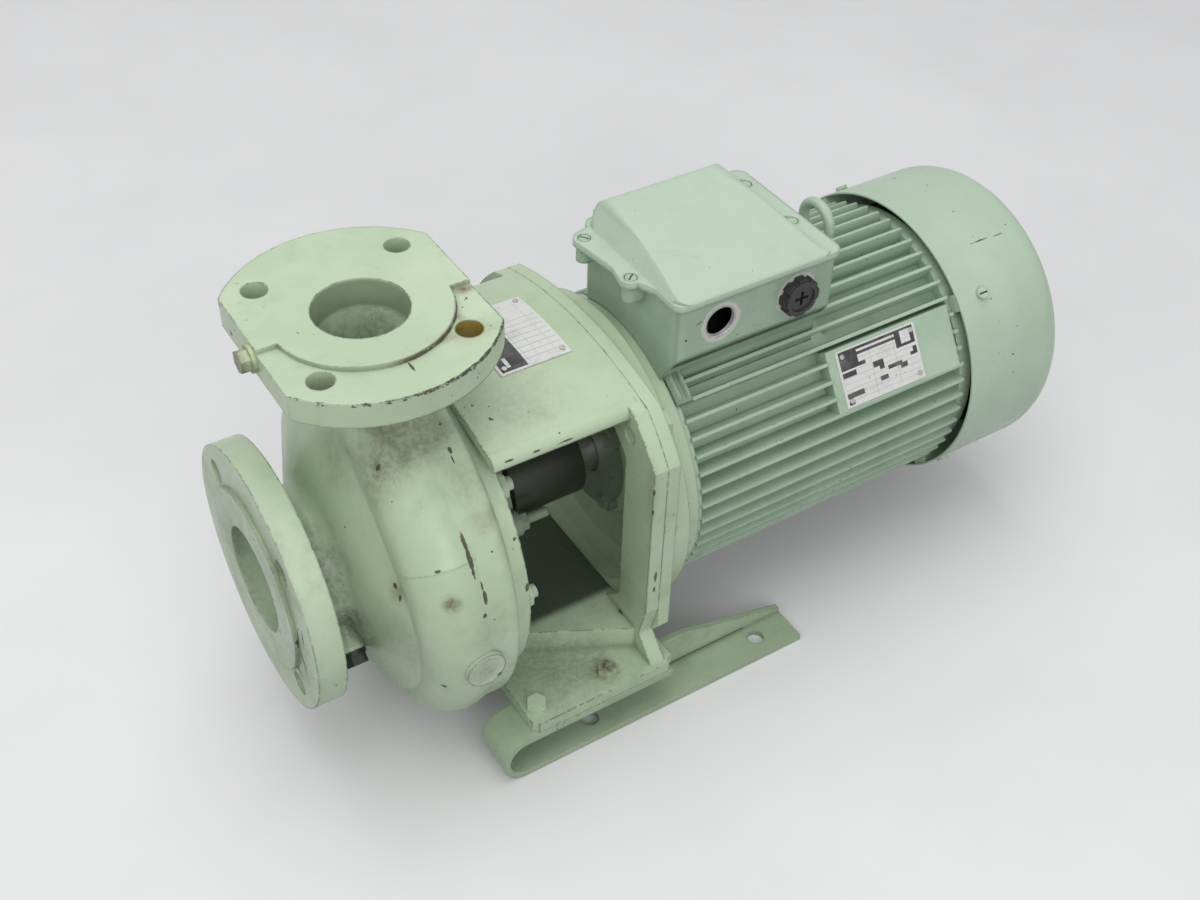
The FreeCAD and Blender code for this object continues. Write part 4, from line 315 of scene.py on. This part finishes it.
def plate(name, across, up, corner, size, blocks, windows, rules, posts):
    """A printed plate: dark blocks and thin plain rules on white. Corner is its lower left."""
    net = Net(name)
    outer, _, rounded = net.edges(0.0004, 0.003)
    u = net.math("DIVIDE", net.along(across, corner), size[0])
    v = net.math("DIVIDE", net.along(up, corner), size[1])

    def inside(boxes):
        total = 0.0
        for left, right, low, high in boxes:
            flat = net.math("COMPARE", u, (left + right) / 2, c=(right - left) / 2)
            tall = net.math("COMPARE", v, (low + high) / 2, c=(high - low) / 2)
            total = net.math("MAXIMUM", total, net.math("MULTIPLY", flat, tall))
        return total

    print_dark = net.math("MULTIPLY", inside(blocks),
                          net.math("SUBTRACT", 1.0, inside(windows)))
    thin = net.math("MAXIMUM", inside([(0.03, 0.97, low - 0.006, low + 0.006) for low in rules]),
                    inside([(left - 0.004, left + 0.004, 0.05, 0.95) for left in posts]))
    wear = net.noise(70.0, 5.0, 0.7)
    white = net.mix(net.ramp(wear, 0.45, 0.72), rgb(0.70, 0.70, 0.68), rgb(0.58, 0.58, 0.55))
    colour = net.mix(net.math("MULTIPLY", thin, 0.35), white, rgb(0.20, 0.20, 0.20))
    colour = net.mix(net.math("MULTIPLY", print_dark, net.ramp(wear, 0.35, 0.80, 1.0, 0.82)),
                     colour, rgb(0.035, 0.034, 0.036))
    specks = net.ramp(net.noise(330.0, 3.0, 0.6), 0.66, 0.70, 0.0, 0.6)
    colour = net.mix(specks, colour, rgb(0.22, 0.20, 0.17))
    colour = net.mix(net.math("MULTIPLY", outer, 0.7), colour, rgb(0.62, 0.62, 0.60))
    return net.finish(colour, net.ramp(wear, 0.3, 0.7, 0.28, 0.42),
                      bump(net, wear, 0.06, 0.0003, rounded))


PUMP = rgb(0.455, 0.565, 0.384)
PUMP_PALE = rgb(0.520, 0.624, 0.449)
PUMP_DEEP = rgb(0.351, 0.468, 0.299)
MOTOR = rgb(0.390, 0.520, 0.390)
MOTOR_PALE = rgb(0.462, 0.585, 0.455)
MOTOR_DEEP = rgb(0.306, 0.429, 0.312)
# The terminal box wears the motor's green; this darker copy is painted shade for its shaded walls.
BOX_SHADED_GREEN = rgb(0.300, 0.405, 0.300)
COWL = rgb(0.410, 0.530, 0.400)
LID = rgb(0.450, 0.560, 0.440)

VOLUTE_SCARS = [
    # Long rust scar and its tail along the belt, then the dark dots below it.
    ((-0.1760, -0.1170, 0.2410), (0.0016, 0.0100, 0.0030), 58.0),
    ((-0.1762, -0.1235, 0.2320), (0.0021, 0.0085, 0.0030), 60.0),
    ((-0.1762, -0.1272, 0.2245), (0.0012, 0.0050, 0.0025), 62.0),
    ((-0.1722, -0.1312, 0.2125), (0.0008, 0.0050, 0.0020), 66.0),
    ((-0.1718, -0.1340, 0.2045), (0.0015, 0.0062, 0.0025), 70.0),
    ((-0.1743, -0.1384, 0.1919), (0.0020, 0.0025, 0.0020), 0.0),
    ((-0.1610, -0.0720, 0.2817), (0.0012, 0.0026, 0.0020), 32.0),
    ((-0.1622, -0.0775, 0.2780), (0.0006, 0.0040, 0.0020), 32.0),
    ((-0.1988, -0.1208, 0.2316), (0.0055, 0.0014, 0.0012), 0.0),
    ((-0.2175, -0.0936, 0.2032), (0.0030, 0.0016, 0.0030), 0.0),
    ((-0.2168, -0.0985, 0.1957), (0.0025, 0.0012, 0.0034), 0.0),
    ((-0.2078, -0.0612, 0.2803), (0.0022, 0.0016, 0.0030), 0.0),
    ((-0.1816, -0.0665, 0.3565), (0.0012, 0.0060, 0.0020), 0.0),
    ((-0.2041, -0.1307, 0.1296), (0.0030, 0.0022, 0.0018), 0.0),
    # Broken paint round the drain boss and scrapes on the suction flange.
    ((-0.1628, -0.1455, 0.1482), (0.0012, 0.0020, 0.0060), 0.0),
    ((-0.1676, -0.1455, 0.1602), (0.0050, 0.0020, 0.0012), 0.0),
    ((-0.1676, -0.1455, 0.1365), (0.0040, 0.0020, 0.0016), 0.0),
    ((-0.1775, -0.1455, 0.1646), (0.0036, 0.0020, 0.0009), 0.0),
    ((-0.1905, -0.1455, 0.1365), (0.0050, 0.0020, 0.0010), 0.0),
    ((-0.1957, -0.1455, 0.1500), (0.0009, 0.0020, 0.0040), 0.0),
    ((-0.2810, -0.0800, 0.1750), (0.0030, 0.0012, 0.0100), 0.0),
    ((-0.2810, -0.0740, 0.1450), (0.0030, 0.0014, 0.0120), -20.0),
    ((-0.2810, -0.0602, 0.1224), (0.0030, 0.0018, 0.0070), -40.0),
    ((-0.2810, -0.0700, 0.1640), (0.0030, 0.0009, 0.0140), 10.0),
]
# Soft patches on the volute: rust, scale and soiling, with painted shade where marked.
VOLUTE_STAINS_AND_SHADE = [
    ((-0.1160, -0.0120, 0.3575), (0.0110, 0.0080, 0.0040), 0.95, BROWN),
    ((-0.1330, -0.0330, 0.3575), (0.0060, 0.0200, 0.0040), 0.60, BROWN),
    ((-0.1540, -0.0520, 0.3575), (0.0200, 0.0070, 0.0040), 0.50, BROWN),
    ((-0.1327, -0.0513, 0.3570), (0.0200, 0.0200, 0.0030), 0.35, YELLOW),
    ((-0.2330, -0.0500, 0.3450), (0.0200, 0.0200, 0.0120), 0.60, BROWN),
    ((-0.1800, -0.0600, 0.2960), (0.0500, 0.0300, 0.0260), 0.75, OLIVE),
    ((-0.2060, -0.0600, 0.2820), (0.0300, 0.0300, 0.0400), 0.70, OLIVE),
    # Painted shade with some soiling under the outlet flange.
    ((-0.1950, -0.0500, 0.3050), (0.0400, 0.0300, 0.0120), 0.60, GRIME_AND_SHADE),
    ((-0.2085, -0.0618, 0.2800), (0.0070, 0.0070, 0.0090), 0.45, SCALE),
    ((-0.1951, -0.1323, 0.2098), (0.0095, 0.0095, 0.0095), 0.80, RUST),
    ((-0.2170, -0.0960, 0.2000), (0.0100, 0.0120, 0.0150), 0.60, BROWN),
    ((-0.1600, -0.0900, 0.2700), (0.0200, 0.0300, 0.0240), 0.45, OLIVE),
    ((-0.1560, -0.1100, 0.2490), (0.0220, 0.0160, 0.0100), 0.45, BROWN),
    # Painted shade with some soiling below and behind the suction flange.
    ((-0.2330, -0.0560, 0.1400), (0.0300, 0.0260, 0.0260), 0.85, GRIME_AND_SHADE),
    ((-0.2500, -0.0500, 0.1900), (0.0220, 0.0600, 0.0800), 0.75, GRIME_AND_SHADE),
    ((-0.1793, -0.1460, 0.1482), (0.0190, 0.0040, 0.0190), 0.60, OLIVE),
    ((-0.2100, -0.1000, 0.1500), (0.0400, 0.0400, 0.0400), 0.45, OLIVE),
    # Painted shade in and round the outlet bore.
    ((-0.1840, 0.0000, 0.3200), (0.0500, 0.0500, 0.0420), 0.85, GRIME_AND_SHADE),
    ((-0.2300, -0.0150, 0.2700), (0.0300, 0.0400, 0.0400), 0.55, OLIVE),
    # Painted shade in the groove between the volute and the lantern.
    ((-0.1420, -0.0550, 0.2850), (0.0120, 0.0400, 0.0160), 0.60, GRIME_AND_SHADE),
    # On the suction face: olive tints of soiling that also darken it as painted shade, then painted shade
    # over the whole face.
    ((-0.2820, -0.0500, 0.2100), (0.0100, 0.0400, 0.0400), 0.60, OLIVE),
    ((-0.2820, -0.0700, 0.1350), (0.0100, 0.0400, 0.0450), 0.60, OLIVE),
    ((-0.2820, 0.0300, 0.1700), (0.0100, 0.0500, 0.0700), 0.45, OLIVE),
    ((-0.2820, 0.0000, 0.1600), (0.0120, 0.1300, 0.1300), 0.40, SHADE_GREEN),
    ((-0.1700, -0.1250, 0.1750), (0.0300, 0.0300, 0.0240), 0.40, OLIVE),
    ((-0.1450, -0.1150, 0.2200), (0.0160, 0.0200, 0.0300), 0.40, BROWN),
]
LANTERN_SCARS = [
    ((-0.1284, -0.0925, 0.2735), (0.0050, 0.0010, 0.0010), 0.0),
    ((-0.1080, -0.0925, 0.2725), (0.0030, 0.0008, 0.0010), 0.0),
    ((-0.0850, -0.0925, 0.2715), (0.0070, 0.0009, 0.0009), 0.0),
    ((-0.0480, -0.0915, 0.2712), (0.0090, 0.0014, 0.0014), 0.0),
    ((-0.0335, -0.1262, 0.2254), (0.0012, 0.0012, 0.0035), 0.0),
    ((-0.0335, -0.1262, 0.2060), (0.0012, 0.0012, 0.0026), 0.0),
    ((-0.0270, -0.1262, 0.1370), (0.0014, 0.0012, 0.0060), 0.0),
    ((-0.0275, -0.1262, 0.1235), (0.0012, 0.0012, 0.0030), 0.0),
    ((-0.1344, -0.1245, 0.1848), (0.0020, 0.0018, 0.0040), 0.0),
]
# Soft patches on the lantern: soiling, with painted shade over the foot.
LANTERN_STAINS_AND_SHADE = [
    # Painted shade over the foot under the lantern.
    ((-0.0950, -0.0950, 0.0500), (0.1000, 0.0800, 0.0300), 0.60, SHADE_GREEN),
    ((-0.0400, -0.0900, 0.1000), (0.0400, 0.0300, 0.0400), 0.45, OLIVE),
    ((-0.0661, -0.1227, 0.0500), (0.0160, 0.0160, 0.0120), 0.80, BROWN),
    ((-0.1000, -0.0500, 0.2800), (0.0500, 0.0500, 0.0160), 0.35, OLIVE),
    ((-0.0360, -0.1230, 0.2300), (0.0100, 0.0100, 0.0500), 0.35, OLIVE),
]
# The outlet flange's axis, ring, rim, port and the one rusty bolt hole.
OUTLET = (-0.184, 0.0)
OUTLET_RING, OUTLET_RIM, OUTLET_PORT = 0.0612, 0.0922, 0.0340
OUTLET_STEP = (0.3560, 0.3596)
RUSTY_HOLE = (-0.1327, -0.0513, 0.3440)
COWL_SCARS = [((0.3250, -0.0540, 0.2697), (0.0100, 0.0006, 0.0010), 0.0),
              ((0.3440, -0.0548, 0.2693), (0.0060, 0.0005, 0.0010), 0.0),
              ((0.3600, -0.0860, 0.2350), (0.0022, 0.0020, 0.0022), 0.0)]
ENTRY = (0.0500, -0.0770, 0.1490 + SHAFT)
PLUG = (0.1160, -0.0770, 0.1490 + SHAFT)

# The motor's plate leans with the pad that carries it.
PLATE_TILT = math.radians(56.5)
PLATE_LEFT, PLATE_WIDTH, PLATE_HEIGHT = 0.158, 0.078, 0.045
motor_up = (0.0, math.cos(PLATE_TILT), math.sin(PLATE_TILT))
motor_corner = (PLATE_LEFT, -0.5 * PLATE_HEIGHT * motor_up[1],
                SHAFT - 0.5 * PLATE_HEIGHT * motor_up[2])
motor_blocks = [
    # Each block has its left, right, low and high share of the plate.
    (0.03, 0.25, 0.70, 0.97), (0.25, 0.73, 0.92, 0.97), (0.25, 0.73, 0.83, 0.88),
    (0.73, 0.97, 0.66, 0.97), (0.03, 0.33, 0.635, 0.70), (0.03, 0.20, 0.51, 0.60),
    (0.41, 0.54, 0.50, 0.60), (0.48, 0.54, 0.43, 0.50), (0.58, 0.76, 0.375, 0.445),
    (0.73, 0.82, 0.31, 0.40), (0.46, 0.56, 0.235, 0.315), (0.92, 0.97, 0.52, 0.60),
    (0.88, 0.97, 0.46, 0.52), (0.03, 0.24, 0.15, 0.24), (0.03, 0.10, 0.04, 0.10)]
motor_plate = plate("motor_plate", (1.0, 0.0, 0.0), motor_up, motor_corner,
                    (PLATE_WIDTH, PLATE_HEIGHT),
                    motor_blocks, [(0.80, 0.92, 0.71, 0.93)],
                    [0.10, 0.20, 0.30, 0.40, 0.50, 0.60, 0.70, 0.78], [0.40, 0.70])
pump_plate = plate("pump_plate", (1.0, 0.0, 0.0), (0.0, 1.0, 0.0), (-0.0995, -0.031, 0.0),
                   (0.0565, 0.076), [(0.04, 0.40, 0.025, 0.46)], [(0.14, 0.19, 0.07, 0.20)],
                   [0.10, 0.18, 0.26, 0.34, 0.42, 0.50, 0.58, 0.66], [0.44, 0.60, 0.84])

finishes = {
    "pump_paint": paint("pump_enamel", PUMP, PUMP_PALE, PUMP_DEEP, 0.0008, 0.84),
    "motor_paint": paint("motor_enamel", MOTOR, MOTOR_PALE, MOTOR_DEEP, 0.0014, 0.86, 0.20, dirt_and_shade=0.22),
    "cast_iron": metal("raw_casting", rgb(0.20, 0.19, 0.18), rgb(0.10, 0.10, 0.095), 0.55, 30.0, 0.3),
    "steel": metal("bright_steel", rgb(0.56, 0.55, 0.53), rgb(0.36, 0.35, 0.33), 0.32, 60.0, 0.25),
    "dark_steel": metal("blackened_steel", rgb(0.10, 0.10, 0.10), rgb(0.04, 0.04, 0.04), 0.42, 50.0,
                        0.35),
    "brass": metal("brass", rgb(0.62, 0.46, 0.22), rgb(0.42, 0.30, 0.14), 0.34),
    "copper": metal("copper_wire", rgb(0.55, 0.26, 0.13), rgb(0.34, 0.14, 0.07), 0.4, 120.0),
    "rubber": plastic("rubber", rgb(0.035, 0.035, 0.035), rgb(0.10, 0.10, 0.10), 0.65),
    "plastic": plastic("moulded_plastic", rgb(0.022, 0.022, 0.023), rgb(0.10, 0.10, 0.10)),
    "aluminium": metal("cast_aluminium", rgb(0.60, 0.60, 0.61), rgb(0.42, 0.42, 0.43), 0.45, 35.0),
    "plate": plastic("white_plate", rgb(0.70, 0.70, 0.68), rgb(0.60, 0.60, 0.58), 0.35),
}
dressed = {
    "volute_casing": paint("volute_enamel", PUMP, PUMP_PALE, PUMP_DEEP, 0.0022, 0.80, 0.45,
                           VOLUTE_SCARS, VOLUTE_STAINS_AND_SHADE, 0.6,
                           hollow_tints_and_shade=[(RUSTY_HOLE, (0.0110, 0.0110, 0.0124), 0.92,
                                     0.0006, YELLOW),
                                    # Painted shade in the outlet bore.
                                    ((*OUTLET, 0.3478), (OUTLET_PORT, OUTLET_PORT, 0.0106), 0.55,
                                     0.0014, SHADE_GREEN)],
                           lines=[((*OUTLET, 0.0), OUTLET_RING, 0.0006, *OUTLET_STEP)],
                           rims=[((*OUTLET, 0.0), OUTLET_RIM, 0.0008, 0.3545, 0.3575, -0.2)],
                           rubbed=[((-0.1500, -0.0750, 0.3480), (0.1100, 0.0700, 0.0400), 0.26),
                                   ((-0.2700, -0.0600, 0.1400), (0.0500, 0.0800, 0.1200), 0.10)]),
    "lantern": paint("lantern_enamel", PUMP, PUMP_PALE, PUMP_DEEP, 0.0026, 0.80, 0.30,
                     LANTERN_SCARS, LANTERN_STAINS_AND_SHADE, 0.6,
                     # Painted shade: the lantern's floor plate made near black, as if open and dark below.
                     hollow_tints_and_shade=[((-0.075, 0.0, 0.070), (0.066, 0.070, 0.006), 0.9, 0.005, SHADE_BLACK)],
                     rubbed=[((-0.0850, -0.0920, 0.2720), (0.1000, 0.0200, 0.0200), 0.14),
                             ((-0.0340, -0.1200, 0.1700), (0.0400, 0.0400, 0.1600), 0.10)]),
    "drive_end_shield": paint("shield_enamel", PUMP, PUMP_PALE, PUMP_DEEP, 0.0020, 0.86, dirt_and_shade=0.4),
    "fan_cowl": paint("cowl_enamel", COWL, MOTOR_PALE, MOTOR, 0.0012, 0.88, 0.08, COWL_SCARS,
                      dirt_and_shade=0.35),
    "terminal_lid": paint("lid_enamel", LID, MOTOR_PALE, MOTOR, 0.0045, 0.88, 0.10, dirt_and_shade=0.45),
    "terminal_box": paint("box_shaded_enamel", BOX_SHADED_GREEN, MOTOR, MOTOR_DEEP, 0.0030, 0.85, 0.18,
                          rings=[(ENTRY, 0.0122, 0.0165), (PLUG, 0.0122, 0.0175)],
                          # Painted shade: the inside of the terminal box made near black.
                          hollow_tints_and_shade=[((0.083, -0.016, 0.305), (0.068, 0.0580, 0.030), 0.95, 0.002,
                                    SHADE_BLACK)]),
    "outlet_plug": paint("plug_enamel", rgb(0.42, 0.47, 0.26), PUMP, rgb(0.28, 0.26, 0.13), 0.0008,
                         0.74, stains_and_shade=[((-0.2690, 0.0000, 0.3490), (0.0060, 0.0160, 0.0160), 0.95, SCALE),
                                       ((-0.2600, 0.0000, 0.3440), (0.0200, 0.0160, 0.0070), 0.70, SCALE)]),
    "motor_nameplate": motor_plate,
    "stub_shaft": plastic("greased_shaft", rgb(0.030, 0.034, 0.026), rgb(0.070, 0.078, 0.062), 0.4,
                          300.0),
    "pump_nameplate": pump_plate,
}
DULL = paint("dull_enamel", rgb(0.235, 0.275, 0.205), rgb(0.290, 0.330, 0.250),
             rgb(0.150, 0.180, 0.130), 0.0008, 0.80, dirt_and_shade=0.8)
for name in ("gland_plate", "gland_nuts", "gland_studs", "casing_cover", "bearing_cover_screws",
             "clamp_screws", "bearing_cover"):
    dressed[name] = DULL
dressed["casing_studs"] = paint("stud_enamel", rgb(0.410, 0.470, 0.360), rgb(0.52, 0.54, 0.48),
                                rgb(0.200, 0.220, 0.160), 0.0005, 0.80)
# The rails wear the pump green, darkened here as painted shade low under the pump, with stronger corner
# darkening.
for name in ("foot_rail_near", "foot_rail_far"):
    dressed[name] = paint("rail_shaded_enamel", rgb(0.330, 0.425, 0.285), rgb(0.390, 0.485, 0.340),
                          rgb(0.230, 0.310, 0.195), 0.0012, 0.82, 0.30, dirt_and_shade=0.8)
dressed["foot_bolts"] = paint("bolt_enamel", PUMP, PUMP_PALE, PUMP_DEEP, 0.0008, 0.84,
                              stains_and_shade=[((-0.0661, -0.1227, 0.0600), (0.0180, 0.0180, 0.0150), 0.95,
                                       SCALE)])
for name in ("cowl_screws", "lid_screws"):
    dressed[name] = finishes["motor_paint"]

slots = {part["node"]: part["material_slot"] for part in frame["record"]["subparts"]}
for name, obj in NODES.items():
    obj.data.materials.clear()
    obj.data.materials.append(dressed.get(name) or finishes[slots[name]])

# Small details


def piece(name, rings, finish):
    """A closed band of quads through rings of points, each ring joined to the next."""
    count = len(rings[0])
    points = [point for ring in rings for point in ring]
    faces = []
    for row in range(len(rings)):
        below = ((row + 1) % len(rings)) * count
        for index in range(count):
            after = (index + 1) % count
            faces.append((row * count + index, row * count + after, below + after, below + index))
    mesh = bpy.data.meshes.new(name)
    mesh.from_pydata(points, [], faces)
    form = bmesh.new()
    form.from_mesh(mesh)
    bmesh.ops.recalc_face_normals(form, faces=form.faces)
    form.to_mesh(mesh)
    form.free()
    mesh.materials.append(finish)
    obj = bpy.data.objects.new(name, mesh)
    bpy.context.scene.collection.objects.link(obj)
    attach(obj, "housing")
    return obj


def entry_thread():
    """The thread inside the open cable entry: a thin bright sleeve with four ridges."""
    profile = [(0.01240, 0.0), (0.01240, 0.0041)]
    for turn_index in range(4, 0, -1):
        profile += [(0.01235, 0.0010 * turn_index), (0.01175, 0.0010 * turn_index - 0.0005)]
    rings = []
    for radius, depth in profile:
        rings.append([(ENTRY[0] + radius * math.cos(math.tau * step / 48), ENTRY[1] + depth,
                       ENTRY[2] + radius * math.sin(math.tau * step / 48)) for step in range(48)])
    piece("entry_thread", rings, finishes["aluminium"])


def screw_slots(name, spots, size):
    """Dark driver slots on screw heads. Each spot has a centre, an outward and a long direction."""
    for number, (centre, out, along) in enumerate(spots, start=1):
        centre, out, along = Vector(centre), Vector(out), Vector(along)
        across = out.cross(along)
        rings = []
        for height in (-0.0004, 0.00012):
            rings.append([tuple(centre + out * height + along * a * size[0] + across * b * size[1])
                          for a, b in ((-1, -1), (1, -1), (1, 1), (-1, 1))])
        points = rings[0] + rings[1]
        faces = [(0, 3, 2, 1), (4, 5, 6, 7), (0, 1, 5, 4), (1, 2, 6, 5), (2, 3, 7, 6), (3, 0, 4, 7)]
        mesh = bpy.data.meshes.new(f"{name}_{number}")
        mesh.from_pydata(points, [], faces)
        mesh.materials.append(finishes["dark_steel"])
        obj = bpy.data.objects.new(f"{name}_{number}", mesh)
        bpy.context.scene.collection.objects.link(obj)
        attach(obj, "housing")


entry_thread()
COWL_HEAD, COWL_SCREW_X, LID_HEAD = 0.1255, 0.302, 0.3345
slot_spots = []
for angle in (45.0, 135.0, 225.0, 315.0):
    outward = (0.0, -math.sin(math.radians(angle)), math.cos(math.radians(angle)))
    slot_spots.append(((COWL_SCREW_X, COWL_HEAD * outward[1], SHAFT + COWL_HEAD * outward[2]), outward,
                       (1.0, 0.0, 0.0)))
screw_slots("cowl_slot", slot_spots, (0.0040, 0.0007))
screw_slots("lid_slot", [((0.0045, -0.030, LID_HEAD), (0, 0, 1), (0.8, 0.6, 0.0)),
                         ((0.0020, 0.027, LID_HEAD), (0, 0, 1), (0.6, -0.8, 0.0))], (0.0034, 0.0006))

# Floor, light and camera


def floor():
    """A plain pale floor just under the base."""
    mesh = bpy.data.meshes.new("floor")
    size = 6.0
    mesh.from_pydata([(-size, -size, 0), (size, -size, 0), (size, size, 0), (-size, size, 0)],
                     [], [(0, 1, 2, 3)])
    obj = bpy.data.objects.new("floor", mesh)
    obj.location.z = -0.0005
    bpy.context.scene.collection.objects.link(obj)
    net = Net("floor")
    tone = net.ramp(net.noise(3.0, 4.0, 0.6), 0.3, 0.7)
    pale = net.mix(tone, rgb(0.76, 0.76, 0.76), rgb(0.80, 0.80, 0.80))
    # The floor is seen pale, and throws less light back under the pump than its tone would.
    rays = net.add("ShaderNodeLightPath")
    seen = net.math("MAXIMUM", rays.outputs["Is Camera Ray"], rays.outputs["Is Glossy Ray"])
    colour = net.mix(seen, rgb(0.24, 0.24, 0.24), pale)
    obj.data.materials.append(net.finish(colour, 0.75))


floor()

world = bpy.data.worlds.new("studio")
bpy.context.scene.world = world
world.use_nodes = True
tree = world.node_tree
tree.nodes.clear()
sky = tree.nodes.new("ShaderNodeBackground")
sky.inputs["Color"].default_value = (0.97, 0.98, 1.0, 1.0)
sky.inputs["Strength"].default_value = 0.52
backdrop = tree.nodes.new("ShaderNodeBackground")
backdrop.inputs["Color"].default_value = (0.93, 0.93, 0.94, 1.0)
backdrop.inputs["Strength"].default_value = 0.9
rays = tree.nodes.new("ShaderNodeLightPath")
seen = tree.nodes.new("ShaderNodeMath")
seen.operation = "MAXIMUM"
tree.links.new(rays.outputs["Is Camera Ray"], seen.inputs[0])
tree.links.new(rays.outputs["Is Glossy Ray"], seen.inputs[1])
choice = tree.nodes.new("ShaderNodeMixShader")
tree.links.new(seen.outputs[0], choice.inputs[0])
tree.links.new(sky.outputs[0], choice.inputs[1])
tree.links.new(backdrop.outputs[0], choice.inputs[2])
final = tree.nodes.new("ShaderNodeOutputWorld")
tree.links.new(choice.outputs[0], final.inputs[0])


def lamp(name, place, aim, size, power):
    """A rectangular soft lamp that points at aim."""
    data = bpy.data.lights.new(name, "AREA")
    data.shape = "RECTANGLE"
    data.size, data.size_y = size
    data.energy = power
    obj = bpy.data.objects.new(name, data)
    bpy.context.scene.collection.objects.link(obj)
    obj.location = place
    obj.rotation_mode = "QUATERNION"
    obj.rotation_quaternion = (Vector(aim) - Vector(place)).to_track_quat("-Z", "Y")


lamp("key", (-0.25, 0.1, 2.5), (0.0, 0.0, 0.1), (2.4, 1.8), 26.0)
lamp("left", (-2.2, -0.7, 2.0), (-0.1, 0.0, 0.2), (1.6, 1.2), 11.0)
lamp("fill", (-0.5, -2.4, 1.4), (0.0, 0.0, 0.15), (1.8, 1.4), 19.0)

# The camera stands where the photograph was taken from.
CAMERA_PLACE = (-0.47541, -0.72317, 0.93736)
CAMERA_LENS, SENSOR_WIDTH = 44.65, 36.0
azimuth, elevation, roll = math.radians(-33.53), math.radians(42.24), math.radians(1.98)
back = Vector((math.sin(azimuth) * math.cos(elevation), -math.cos(azimuth) * math.cos(elevation),
               math.sin(elevation)))
side = (-back).cross(Vector((0.0, 0.0, 1.0))).normalized()
up = side.cross(-back)
side, up = (math.cos(roll) * side + math.sin(roll) * up,
            math.cos(roll) * up - math.sin(roll) * side)
lens = bpy.data.cameras.new("camera")
lens.lens = CAMERA_LENS
lens.sensor_width = SENSOR_WIDTH
lens.clip_start, lens.clip_end = 0.05, 60.0
camera = bpy.data.objects.new("camera", lens)
bpy.context.scene.collection.objects.link(camera)
turn = Matrix((side, up, back)).transposed().to_4x4()
turn.translation = Vector(CAMERA_PLACE)
camera.matrix_world = turn
bpy.context.scene.camera = camera

bpy.context.scene.view_settings.view_transform = "Standard"
